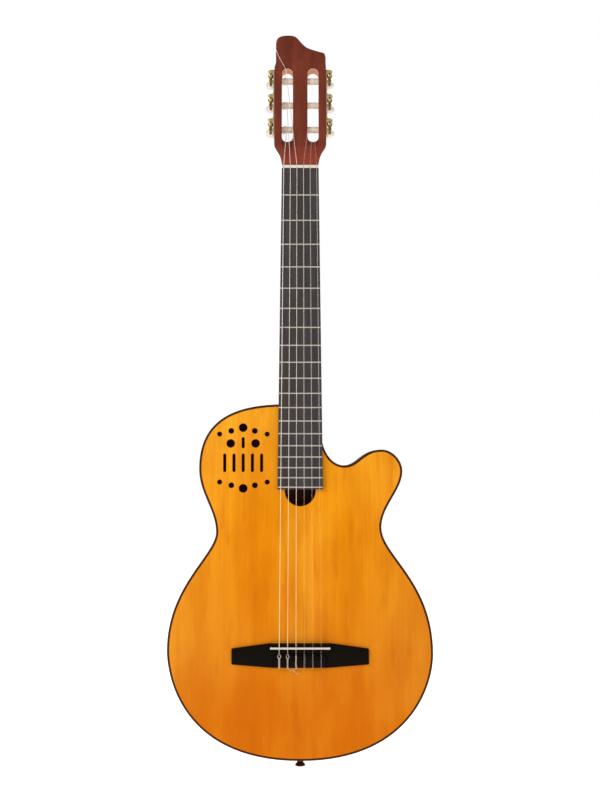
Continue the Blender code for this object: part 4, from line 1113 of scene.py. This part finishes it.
class GUITAR_OT_strap_button(Operator):
    """Turned strap button at the tail, with its fixing screw"""

    bl_idname = "guitar.strap_button"
    bl_label = "Strap Button"

    def execute(self, context):
        body = sizes()[0]
        tail = min(point.z for point in body_outline())
        place = Matrix.Translation((0, body.depth / 2, tail)) @ Matrix.Rotation(math.pi, 4, "X")
        points = smooth_path([(height, 0, radius) for height, radius in strap_button_profile], 3)
        profile = [(0.0, 0.0)] + [(max(p.x, 0.0), max(p.z, 0.0)) for p in points]
        bm = bmesh.new()
        turn_profile(bm, profile, 40, place)
        add_piece(bm, "strap_button", "dark_binding", replaces=["end_button"])
        return {"FINISHED"}


# Bridge


class GUITAR_OT_bridge(Operator):
    """Bridge with its saddle block and drilled tie block, and the saddle in its slot"""

    bl_idname = "guitar.bridge"
    bl_label = "Bridge and Saddle"

    def execute(self, context):
        body, neck = sizes()[:2]
        saddle = -neck.scale - neck.setback
        top = saddle + 6 * mm
        rear = saddle - body.tie_start
        self.saddle_reach, self.saddle_half = body.saddle_length / 2, body.saddle_thickness / 2
        bm = self.wings(top)
        saddle_rib, tie_rib = 41.8 * mm, 36.4 * mm
        bm = self.add_rib(bm, saddle_rib, body.saddle_block, top - 0.6 * mm, top - 9.8 * mm)
        bm = self.add_rib(bm, tie_rib, body.tie_block, rear, rear - body.tie_width)
        bm = boolean(bm, self.slot_and_holes(saddle, rear - body.tie_width / 2))
        add_piece(bm, "bridge_wood", "ebony", replaces=["bridge"],
                  angle=28)
        crest = 0.6 * mm - neck.saddle_string
        bm = bmesh.new()
        add_block(bm, (-self.saddle_reach, crest, saddle - self.saddle_half),
                  (self.saddle_reach, -4.4 * mm, saddle + self.saddle_half), 0.9 * mm, 4)
        add_piece(bm, "saddle_bone", "polished_bone", replaces=["saddle"])
        return {"FINISHED"}

    def wings(self, top):
        """The bridge's flat foot, cut off square and rounded at its tips."""
        body = sizes()[0]
        half = body.bridge_length / 2
        corners = [(37.2 * mm, body.bridge_width / mm), (half - 1.2 * mm, 28.7),
                   (half - 0.3 * mm, 28.2), (half, 27.3), (half, 8.9), (half - 0.4 * mm, 7.6),
                   (half - 1.6 * mm, 6.9), (42.5 * mm, 0.0)]
        edge = [(x, top - drop * mm) for x, drop in corners]
        loop = [Vector((-x, 0, z)) for x, z in edge[::-1]] + [Vector((x, 0, z)) for x, z in edge]
        bm = bmesh.new()
        fill_plate(bm, add_loop(bm, loop, 0.0), -body.bridge_height, 1.0 * mm, 4)
        return bm

    def add_rib(self, bm, reach, height, high, low):
        """A block across the bridge with rounded shoulders, joined to the foot."""
        slope = 5 * mm
        half = [(-reach, -1.5 * mm), (-reach, -3.4 * mm), (-reach + slope * 0.3, -height * 0.78),
                (-reach + slope * 0.9, -height)]
        outline = half + [(-x, y) for x, y in half[::-1]]
        rib = bmesh.new()
        push_out(rib, [(x, y, low) for x, y in outline], (0, 0, high - low))
        upper = [edge for edge in rib.edges if all(v.co.y < -height * 0.7 for v in edge.verts)
                 and abs(edge.verts[0].co.z - edge.verts[1].co.z) < mm]
        round_off(rib, upper, 0.9 * mm)
        return boolean(bm, rib, "UNION")

    def slot_and_holes(self, saddle, along):
        """What is cut out for the saddle and for the six strings."""
        body = sizes()[0]
        tool = bmesh.new()
        reach, half = self.saddle_reach + 0.15 * mm, self.saddle_half + 0.1 * mm
        bore, bore_reach = 1.3, 20
        add_block(tool, (-reach, -20 * mm, saddle - half), (reach, -4.3 * mm, saddle + half))
        for number in range(string_count):
            place = Matrix.Translation((string_place(number, -saddle).x, -body.tie_hole, along))
            turn_profile(tool, [(-bore_reach, 0), (-bore_reach, bore), (bore_reach, bore),
                                (bore_reach, 0)], 16, place)
        return tool


# Neck


def neck_loop(bm, half_width, depth, fullness, height, shear=0.0):
    """One section of the neck: flat in front, rounded behind as its fullness says."""
    steps = 32
    points = []
    for i in range(steps + 1):
        angle = math.pi * i / steps
        x = half_width * math.copysign(abs(math.cos(angle)) ** (2 / fullness), math.cos(angle))
        y = depth * math.sin(angle) ** (2 / fullness)
        points.append((x, y, height - y * shear))
    for i in range(1, 6):
        points.append((-half_width + half_width * i / 3, 0.0, height))
    return add_loop(bm, points)


class GUITAR_OT_neck(Operator):
    """Neck and heel, carved in one piece"""

    bl_idname = "guitar.neck"
    bl_label = "Neck"

    def execute(self, context):
        body, neck, head = sizes()
        inset = 0.2 * mm
        widest = body_anchors[-1].across * mm
        start, shaft = neck_stations[-1][0] * mm, neck_stations[-1][1] * mm
        heel_depth = body.depth - 3.6 * mm
        heel_steps, heel_curve = 18, 1.25
        stations = [(drop * mm, depth * mm, fullness) for drop, depth, fullness in neck_stations]
        for i in range(1, heel_steps + 1):
            angle = math.pi / 2 * i / heel_steps
            sweep = 1 - math.cos(angle)
            stations.append((start + neck.heel_length * math.sin(angle),
                             shaft + (heel_depth - shaft) * sweep ** heel_curve, 2.4 - 0.9 * sweep))
        bm = bmesh.new()
        loops = [neck_loop(bm, board_half_width(0) - inset, head.thickness, 7.0,
                           neck.nut_thickness, math.tan(head.tilt))]
        for drop, depth, fullness in stations:
            half = min(board_half_width(drop) - inset, widest)
            loops.append(neck_loop(bm, half, depth, fullness, -drop))
        loft(bm, loops)
        add_piece(bm, "neck_wood", "mahogany_satin", replaces=["neck"], angle=40)
        return {"FINISHED"}


class GUITAR_OT_fingerboard(Operator):
    """Fingerboard, its nineteen frets and the slotted nut"""

    bl_idname = "guitar.fingerboard"
    bl_label = "Fingerboard, Frets and Nut"

    def execute(self, context):
        self.fingerboard()
        self.frets(range(1, fret_count + 1))
        self.nut()
        return {"FINISHED"}

    def fingerboard(self):
        neck = sizes()[1]
        bm = bmesh.new()
        add_block(bm, (-neck.board_nut / 2, -neck.board_height, -neck.board_length),
                  (neck.board_nut / 2, 0, 0))
        low = [vert for vert in bm.verts if vert.co.z < -mm]
        bmesh.ops.scale(bm, verts=low, vec=(neck.board_end / neck.board_nut, 1, 1))
        edges = [edge for edge in bm.edges
                 if all(vert.co.y < -mm for vert in edge.verts)
                 and abs(edge.verts[0].co.z - edge.verts[1].co.z) > mm]
        corner = 0.7 * mm
        round_off(bm, edges, corner, clamp=False)
        add_piece(bm, "fingerboard_wood", "rosewood", replaces=["fingerboard"])

    def frets(self, numbers):
        """Fret wires, placed by the rule of equal semitones."""
        neck = sizes()[1]
        seat, half = -neck.board_height, neck.fret_width / 2
        bm = bmesh.new()
        for number in numbers:
            drop = neck.scale * (1 - 2 ** (-number / 12))
            reach = board_half_width(drop) - 0.4 * mm
            made = add_block(bm, (-reach, seat - neck.fret_height, -drop - half),
                             (reach, seat + 0.1 * mm, -drop + half))
            upper = {edge for vert in made for edge in vert.link_edges
                     if all(end.co.y < seat - mm / 4 for end in edge.verts)}
            round_off(bm, upper, 0.75 * mm)
        nodes = ["fret_%02d" % number for number in numbers]
        add_piece(bm, "fret_wires", "fret_metal", replaces=nodes, angle=50)

    def nut(self):
        """The nut, with a slot for each string as deep as the string is thick."""
        neck = sizes()[1]
        string = -neck.board_height - neck.nut_string
        top = string - 0.4 * mm
        half = neck.board_nut / 2 - 0.15 * mm
        play = 0.05 * mm
        bm, tool = bmesh.new(), bmesh.new()
        add_block(bm, (-half, top, play), (half, 0, neck.nut_thickness - play), 0.5 * mm)
        for number, diameter in enumerate(string_diameters):
            across = string_place(number, 0).x
            width = (diameter / 2 + 0.1) * mm
            add_block(tool, (across - width, top - 5 * mm, -5 * mm),
                      (across + width, string + diameter / 2 * mm + play, 9 * mm))
        add_piece(boolean(bm, tool), "nut_bone", "polished_bone", replaces=["nut"])


# Headstock, built in its own frame: Z along its face, Y into it


def head_loop():
    """The crest's outline, from the bass side of the nut round the top to the treble side."""
    head = sizes()[2]
    wide, top, low = head.half_width / mm, head.height / mm, head.roller_low / mm
    side = head_flare + [(wide, 33.0), (wide, low - 13.3),
                         (wide, low + 2 * head.roller_pitch / mm + 15.9)]
    points = [(-x, z) for x, z in side]
    points += [(inward - wide, top - drop) for inward, drop in crest_bass]
    points += [(across, top - drop) for across, drop in crest_middle]
    points += [(wide - inward, top - drop) for inward, drop in crest_treble]
    return [point * mm for point in smooth_path([(x, 0, z) for x, z in points + side[::-1]], 4)]


def head_edges(bm):
    """Loops of the crest and of its two string slots."""
    head = sizes()[2]
    edges = add_loop(bm, head_loop(), 0.0)
    middle = (head.slot_low + head.slot_high) / 2
    reach = (head.slot_high - head.slot_low - head.slot_width) / 2
    for side in (-1, 1):
        edges += add_circle(bm, side * head.slot_centre, middle, head.slot_width / 2, 0.0, 40,
                            reach)
    return edges


def ramp_tool():
    """The two ramps that let the strings down into the slots."""
    head = sizes()[2]
    reach = head.slot_width / 2 - 0.6 * mm
    front, deep = -5 * mm, 1.2 * mm
    corners = [(front, head.slot_low - 18.3 * mm), (front, head.slot_low + 8 * mm),
               (deep, head.slot_low + 8 * mm), (deep, head.slot_low + 2 * mm)]
    tool = bmesh.new()
    for side in (-1, 1):
        push_out(tool, [(side * head.slot_centre - reach, y, z) for y, z in corners],
                 (2 * reach, 0, 0))
    return tool


class GUITAR_OT_headstock(Operator):
    """Slotted headstock and the veneer on its face"""

    bl_idname = "guitar.headstock"
    bl_label = "Headstock"

    def execute(self, context):
        head = sizes()[2]
        # The wood's slot walls are bare mahogany, painted paler to stand in for light from below.
        for name, node, end, wood, walls, rim in (
                ("head_wood", "headstock", head.thickness, "mahogany_gloss", "mahogany_raw",
                 "mahogany_edge"),
                ("head_face", "head_veneer", -head.veneer, "veneer_gloss", "veneer_edge",
                 "veneer_edge")):
            bm = bmesh.new()
            fill_plate(bm, head_edges(bm), end, head.edge)
            bm = boolean(bm, ramp_tool())
            if end > 0:
                self.carve_flare(bm)
            bm.transform(head_matrix())
            piece = add_piece(bm, name, wood, replaces=[node], angle=30)
            self.finish_edges(piece, walls, rim)
        return {"FINISHED"}

    def carve_flare(self, bm):
        """Carves the sides in towards the back, where the head widens from the neck."""
        head = sizes()[2]
        lean_upwards, foot_share, foot_height = 1.3, 0.75, 1 / 3
        for vert in bm.verts:
            height = max(vert.co.z / head.flare_end, 0.0)
            if height < 1 and abs(vert.co.x) > max(head.flare_start, vert.co.z - 5 * mm):
                along_flare = math.sin(math.pi * height ** lean_upwards)
                at_foot = foot_share * (1 - height / foot_height)
                share = max(along_flare, at_foot) * vert.co.y / head.thickness
                vert.co.x -= math.copysign(head.flare_carve * max(share, 0.0), vert.co.x)

    def finish_edges(self, piece, slot_walls, outer_edge):
        """Gives the walls of the slots and the outer edge finishes of their own."""
        head = sizes()[2]
        upright = head_matrix().inverted()
        piece.data.materials.append(finish(slot_walls))
        piece.data.materials.append(finish(outer_edge))
        for face in piece.data.polygons:
            middle = upright @ face.center
            in_slot = (abs(abs(middle.x) - head.slot_centre) < head.slot_width / 2 + mm
                       and head.slot_low - mm < middle.z < head.slot_high + mm)
            if abs((upright.to_3x3() @ face.normal).y) < 0.9:
                face.material_index = 1 if in_slot else 2


# Tuning machines


def slotted_screw(profile, place, slot_half, slot_floor, turn=0.0):
    """A screw's head turned from its profile, with a driver's slot cut in it."""
    bm, tool = bmesh.new(), bmesh.new()
    turn_profile(bm, profile, 24, place)
    across, along = slot_half * mm, 4 * mm
    add_block(tool, (-along, -across, slot_floor * mm), (along, across, slot_floor * mm + along),
              place=place @ Matrix.Rotation(turn, 4, "Z"))
    return boolean(bm, tool)


class GUITAR_OT_rollers(Operator):
    """Rollers with their gears and gear screws"""

    bl_idname = "guitar.rollers"
    bl_label = "Rollers and Gears"

    def execute(self, context):
        head = sizes()[2]
        radius = head.roller_radius / mm
        inner = 3.5 - head.gear_middle / mm
        outer = (head.half_width - head.gear_middle) / mm
        barrel = [(inner, 0), (inner, 2.6), (inner + 0.5, 3.2), (inner + 5.6, 3.2),
                  (inner + 6.0, radius - 0.2), (inner + 6.6, radius), (outer - 7.5, radius),
                  (outer - 6.9, radius - 0.2), (outer - 6.5, 2.75), (-2.6, 2.75), (-2.6, 1.9),
                  (2.6, 1.9), (2.6, 0)]
        screw = [(1.5, 0), (1.5, 2.7), (2.0, 2.7), (2.6, 2.2), (2.9, 0)]
        for number in range(string_count):
            count = number + 1
            body = "roller_%d_body" % count
            outward = (machine_matrix(number)
                       @ Matrix.Rotation(side_of(number) * math.pi / 2, 4, "Y"))
            bm = bmesh.new()
            turn_profile(bm, barrel, 32, outward)
            add_piece(bm, "roller_barrel_%d" % count, "roller_plastic", body,
                      ["roller_%d" % count])
            bm = slotted_screw(screw, outward, 0.35, 2.3)
            add_piece(bm, "gear_screw_%d" % count, "gilt", body)
            dress("gear_%d" % count, "gilt_dark", 0.1 * mm)
        return {"FINISHED"}


class GUITAR_OT_keys(Operator):
    """Keys: worm, shaft and pearl button"""

    bl_idname = "guitar.keys"
    bl_label = "Keys and Buttons"

    def execute(self, context):
        head = sizes()[2]
        start = head.button_start / mm
        shaft = [(-7.3, 0), (-7.3, 1.2), (-7.0, 1.5), (-4.7, 1.5), (-4.7, 2.0), (4.7, 2.0),
                 (4.7, 1.5), (6.7, 1.5), (6.7, 2.4), (8.7, 2.4), (9.0, 1.9), (9.6, 1.6),
                 (start - 2.2, 1.6), (start - 1.8, 2.3), (start + 0.4, 2.3), (start + 0.4, 0)]
        path = smooth_path([(share, 0, wide) for share, wide in button_profile], 4)
        button = [(start + p.x * head.button_length / mm,
                   max(p.z, 0.0) * head.button_width / 2 / mm) for p in path]
        for number in range(string_count):
            count = number + 1
            body = "key_%d_body" % count
            place = machine_matrix(number, head.worm_rise)
            backward = place @ Matrix.Rotation(-math.pi / 2, 4, "X")
            bm = bmesh.new()
            turn_profile(bm, shaft, 24, backward)
            join(bm, self.thread(place))
            add_piece(bm, "worm_%d" % count, "gilt_dark", body, ["key_%d" % count])
            bm = bmesh.new()
            turn_profile(bm, button, 40, backward, head.button_thickness / head.button_width)
            add_piece(bm, "button_%d" % count, "pearl_button", body, angle=60)
        return {"FINISHED"}

    def thread(self, place):
        """The worm's thread: one tooth's section, spun along the shaft."""
        module, turns, steps = 0.8 * mm, 3, 24
        lead = math.pi * module
        bm = bmesh.new()
        verts = [bm.verts.new((0, up * mm - lead * turns / 2, -radius * mm))
                 for radius, up in ((1.65, -0.62), (3.2, -0.26), (3.2, 0.26), (1.65, 0.62))]
        face = bm.faces.new(verts)
        spun = bmesh.ops.spin(bm, geom=verts + list(bm.edges) + [face], cent=(0, 0, 0),
                              axis=(0, 1, 0), dvec=(0, lead / steps, 0),
                              angle=2 * math.pi * turns, steps=steps * turns, use_merge=False)
        if not spun["geom_last"]:
            raise RuntimeError("the worm's thread wasn't spun")
        bm.transform(place)
        return bm


class GUITAR_OT_plates(Operator):
    """Side plates with their bracket ears and wood screws"""

    bl_idname = "guitar.plates"
    bl_label = "Plates and Brackets"

    def execute(self, context):
        head = sizes()[2]
        near = head.half_width + 0.05 * mm
        far = near + head.plate + 0.25 * mm
        screw = [(0, 0), (0, 2.1), (0.4, 2.0), (0.9, 1.3), (1.1, 0)]
        for side, hand in ((-1, "bass"), (1, "treble")):
            to_guitar = head_matrix() @ Matrix.Diagonal((side, 1, 1, 1))
            bm = self.plate(near, far)
            for level in range(string_count // 2):
                worm = head.roller_low + level * head.roller_pitch + head.worm_rise
                for way in (-1, 1):
                    join(bm, self.ear(near, worm, way))
            bm.transform(to_guitar)
            node = "tuner_plate_" + hand
            add_piece(bm, node + "_metal", "gilt", replaces=[node])
            for number, up in enumerate((-9.4, 18.0, 54.0, 86.2)):
                place = Matrix.Translation((far - 0.1 * mm, head.roller_depth,
                                            head.roller_low + up * mm))
                place = place @ Matrix.Rotation(math.pi / 2, 4, "Y")
                bm = slotted_screw(screw, place, 0.3, 0.6, 0.6 + number + math.pi / 2)
                bm.transform(to_guitar)
                add_piece(bm, "plate_screw_%s_%d" % (hand, number + 1), "gilt")
        return {"FINISHED"}

    def plate(self, near, far):
        """The plate with its rounded corners, and a line cut round its face."""
        head = sizes()[2]
        bm = bmesh.new()
        made = add_block(bm, (near, head.roller_depth - head.plate_half,
                              head.roller_low - 12.3 * mm),
                         (far, head.roller_depth + head.plate_half,
                          head.roller_low + 2 * head.roller_pitch + 15.4 * mm))
        corners = {edge for vert in made for edge in vert.link_edges
                   if abs(edge.verts[0].co.x - edge.verts[1].co.x) > mm / 2}
        corner_radius, corner_steps = 3.2 * mm, 8
        round_off(bm, corners, corner_radius, corner_steps, clamp=False)
        face = [face for face in bm.faces if face.normal.x > 0.9]
        for thickness, depth in ((0.2, 0.12), (0.9, 0.0), (0.15, -0.15)):
            bmesh.ops.inset_region(bm, faces=face, thickness=thickness * mm, depth=depth * mm)
        return bm

    def ear(self, near, worm, way):
        """One of the two ears that carry a worm."""
        middle = sizes()[2].roller_depth + way * 5.7 * mm
        half = way * 0.7 * mm
        path = smooth_path([(out, 0, up) for out, up in ear_outline], 4, closed=True)
        points = [(near + p.x * mm, 0, worm + p.z * mm) for p in path]
        bm = bmesh.new()
        fill_plate(bm, add_loop(bm, points, middle - half), middle + half, 0.25 * mm, 2)
        return bm


# Strings


def winding_path(number):
    """From the string's loose end through its turns on the roller to the nut."""
    neck, head = sizes()[1:]
    matrix = head_matrix()
    height = roller_height(number)
    wind = head.roller_radius + string_diameters[number] / 2 * mm + 0.05 * mm
    nut_back = string_place(number, 0) + Vector((0, 0, neck.nut_thickness))
    local = matrix.inverted() @ nut_back
    run = Vector((height - local.z, head.roller_depth - local.y))
    heading = math.atan2(run.y, run.x) - math.asin(wind / run.length)
    steps, turns = 32, 2.5
    pitch, offset = 1.7 * mm, 0.7 * mm
    points = []
    for i in range(round(turns * steps), -1, -1):
        angle = heading + 2 * math.pi * i / steps
        across = side_of(number) * (head.slot_centre + offset + pitch * i / steps)
        points.append(matrix @ Vector((across, head.roller_depth - wind * math.cos(angle),
                                       height + wind * math.sin(angle))))
    outward = (points[0] - points[1]).normalized()
    if number == long_tail_string:
        tail = [matrix @ (Vector(place) * mm) for place in long_tail]
        points = smooth_path(tail + [points[0] + outward * 3 * mm, points[0]], 8)[:-1] + points
    else:
        points.insert(0, points[0] + outward * 4.5 * mm)
    return points + [nut_back]


def tie_path(number):
    """From the saddle through the tie block, back over it, round the string and twisted down."""
    body, neck = sizes()[:2]
    saddle_drop = neck.scale + neck.setback
    crest = string_place(number, saddle_drop + body.saddle_thickness / 2)
    heavy = number > 3
    radius = string_diameters[number] / 2
    twist = radius * (1.6 if heavy else 1.05)
    eye = radius * 2 + 0.75 if heavy else radius * 1.3
    turns = 1.5 if heavy else 0.0
    way = 1 if number % 2 else -1
    front = (saddle_drop + body.tie_start) / mm
    rear = front + body.tie_width / mm
    hole = body.tie_hole / mm
    over = body.tie_block / mm + radius * 1.15
    lift = rear - 0.2
    fall = front + 4.4 - lift
    count = max(int(turns * 6), 1)
    path = [(0, hole, front - 0.6), (0, hole, front + 2), (0, hole, rear + 0.5),
            (0, hole + 1.4, rear + 1.3), (0, over - 0.9, rear + 1.2), (twist * way, over, lift)]
    for i in range(1, count + 1):
        angle = 2 * math.pi * turns * i / count
        rise = 0.25 * (1 - math.cos(angle * 2)) + 0.4 * abs(math.sin(angle))
        path.append((twist * way * math.cos(angle), over + twist * rise, lift + fall * i / count))
    path += [(eye * way, over + 0.1, front + 2.6), (eye * way * 0.95, over - 0.1, front + 0.4),
             (eye * way * 0.35, hole + 0.3, front - 1.9),
             (-eye * way * 0.35, hole + 0.4, front - 2.0),
             (-eye * way * 0.95, over - 0.1, front + 0.4), (-eye * way, over + 0.1, front + 2.6)]
    for i in range(count, -1, -1):
        angle = 2 * math.pi * turns * i / count + math.pi
        path.append((twist * way * math.cos(angle), over + twist * (1 + abs(math.sin(angle)) * 0.9),
                     lift + fall * i / count))
    path += tie_tails[number]
    return [crest] + [Vector((crest.x + across * mm, -rise * mm, -drop * mm))
                      for across, rise, drop in path]


class GUITAR_OT_strings(Operator):
    """Six strings, wound on their rollers and tied at the bridge"""

    bl_idname = "guitar.strings"
    bl_label = "Strings"

    def execute(self, context):
        body, neck = sizes()[:2]
        over_saddle = neck.scale + neck.setback - body.saddle_thickness / 2
        for number, diameter in enumerate(string_diameters):
            path = winding_path(number)
            path += [string_place(number, 0), string_place(number, over_saddle)]
            path += smooth_path(tie_path(number), 4)
            bm = bmesh.new()
            tube(bm, path, diameter / 2 * mm, 2)
            name = "string_%d" % (number + 1)
            material, slot = (("nylon_line", "clear_nylon") if side_of(number) > 0 else
                              ("wound_silver", "wound_wire"))
            add_piece(bm, name + "_line", material, replaces=[name], angle=60)
        return {"FINISHED"}


# Stage


class GUITAR_OT_stage(Operator):
    """Camera, white floor, white room and softboxes"""

    bl_idname = "guitar.stage"
    bl_label = "Stage"

    def execute(self, context):
        scene = context.scene
        stage = scene.guitar_stage
        self.camera(scene, stage)
        self.floor(scene, stage)
        self.room(scene, stage)
        aim, box_width = Vector((0, 0, -0.45)), 1.6
        for name, place, power in (("key_softbox", (-1.7, -1.9, 0.9), stage.key),
                                   ("fill_softbox", (2.2, -1.6, -0.1), stage.fill),
                                   ("back_softbox", (0.6, 2.2, 0.9), stage.back)):
            light = bpy.data.lights.new(name, "AREA")
            light.shape = "SQUARE"
            light.size = box_width
            light.energy = power
            box = bpy.data.objects.new(name, light)
            box.location = place
            box.rotation_euler = (Vector(place) - aim).to_track_quat("Z", "Y").to_euler()
            scene.collection.objects.link(box)
        return {"FINISHED"}

    def camera(self, scene, stage):
        camera = bpy.data.cameras.new("camera")
        camera.lens = camera.sensor_width * stage.distance / stage.view_height
        camera.shift_y = (stage.centre - stage.height) / stage.view_height
        camera.clip_end = 100.0
        viewer = bpy.data.objects.new("camera", camera)
        viewer.location = (stage.across, -stage.distance, stage.height)
        viewer.rotation_euler = (math.pi / 2, 0, 0)
        scene.collection.objects.link(viewer)
        scene.camera = viewer
        scene.view_settings.view_transform = "Standard"

    def floor(self, scene, stage):
        reach = 30.0
        bm = bmesh.new()
        bmesh.ops.create_grid(bm, x_segments=8, y_segments=8, size=reach,
                              matrix=Matrix.Translation((0, 0, packed_low.z - stage.floor_gap)))
        mesh = bpy.data.meshes.new("floor")
        bm.to_mesh(mesh)
        bm.free()
        mesh.materials.append(finish("white_paper"))
        floor = bpy.data.objects.new("floor", mesh)
        scene.collection.objects.link(floor)

    def room(self, scene, stage):
        """A white room that is full white to the camera and dimmer as a light."""
        world = bpy.data.worlds.new("white_room")
        world.use_nodes = True
        nodes = Nodes(world.node_tree)
        seen = nodes.add("ShaderNodeLightPath").outputs["Is Camera Ray"]
        background = world.node_tree.nodes["Background"].inputs
        nodes.feed(background["Color"], (1, 1, 1, 1))
        nodes.feed(background["Strength"], nodes.spread(seen, 0.0, 1.0, stage.sky, 1.0))
        scene.world = world


class GUITAR_PT_panel(Panel):
    """Lists the guitar's pieces and their sizes"""

    bl_idname = "GUITAR_PT_panel"
    bl_label = "Guitar"
    bl_space_type = "VIEW_3D"
    bl_region_type = "UI"
    bl_category = "Guitar"

    def draw(self, context):
        layout = self.layout
        for operator in operators:
            layout.operator(operator.bl_idname, text=operator.bl_label)
        for name, label, settings in setting_groups:
            box = layout.box()
            box.label(text=label)
            for setting in settings.bl_rna.properties:
                if setting.identifier not in ("rna_type", "name"):
                    box.prop(getattr(context.scene, name), setting.identifier)


operators = [GUITAR_OT_stage, GUITAR_OT_soundboard, GUITAR_OT_sides, GUITAR_OT_inside,
             GUITAR_OT_strap_button, GUITAR_OT_bridge, GUITAR_OT_neck, GUITAR_OT_fingerboard,
             GUITAR_OT_headstock, GUITAR_OT_rollers, GUITAR_OT_keys, GUITAR_OT_plates,
             GUITAR_OT_strings]
setting_groups = [("guitar_body", "Body", GuitarBodySizes),
                  ("guitar_neck", "Neck", GuitarNeckSizes),
                  ("guitar_head", "Headstock", GuitarHeadSizes),
                  ("guitar_colours", "Colours", GuitarColours),
                  ("guitar_stage", "Stage", GuitarStage)]


def register():
    for name, _, settings in setting_groups:
        bpy.utils.register_class(settings)
        setattr(bpy.types.Scene, name, PointerProperty(type=settings))
    for operator in operators:
        bpy.utils.register_class(operator)
    bpy.utils.register_class(GUITAR_PT_panel)


def unregister():
    bpy.utils.unregister_class(GUITAR_PT_panel)
    for operator in reversed(operators):
        bpy.utils.unregister_class(operator)
    for name, _, settings in setting_groups:
        delattr(bpy.types.Scene, name)
        bpy.utils.unregister_class(settings)


def main():
    register()
    bpy.ops.guitar.stage()
    bpy.ops.guitar.soundboard()
    bpy.ops.guitar.sides()
    bpy.ops.guitar.inside()
    bpy.ops.guitar.strap_button()
    bpy.ops.guitar.bridge()
    bpy.ops.guitar.neck()
    bpy.ops.guitar.fingerboard()
    bpy.ops.guitar.headstock()
    bpy.ops.guitar.rollers()
    bpy.ops.guitar.keys()
    bpy.ops.guitar.plates()
    bpy.ops.guitar.strings()


if __name__ == "__main__":
    main()
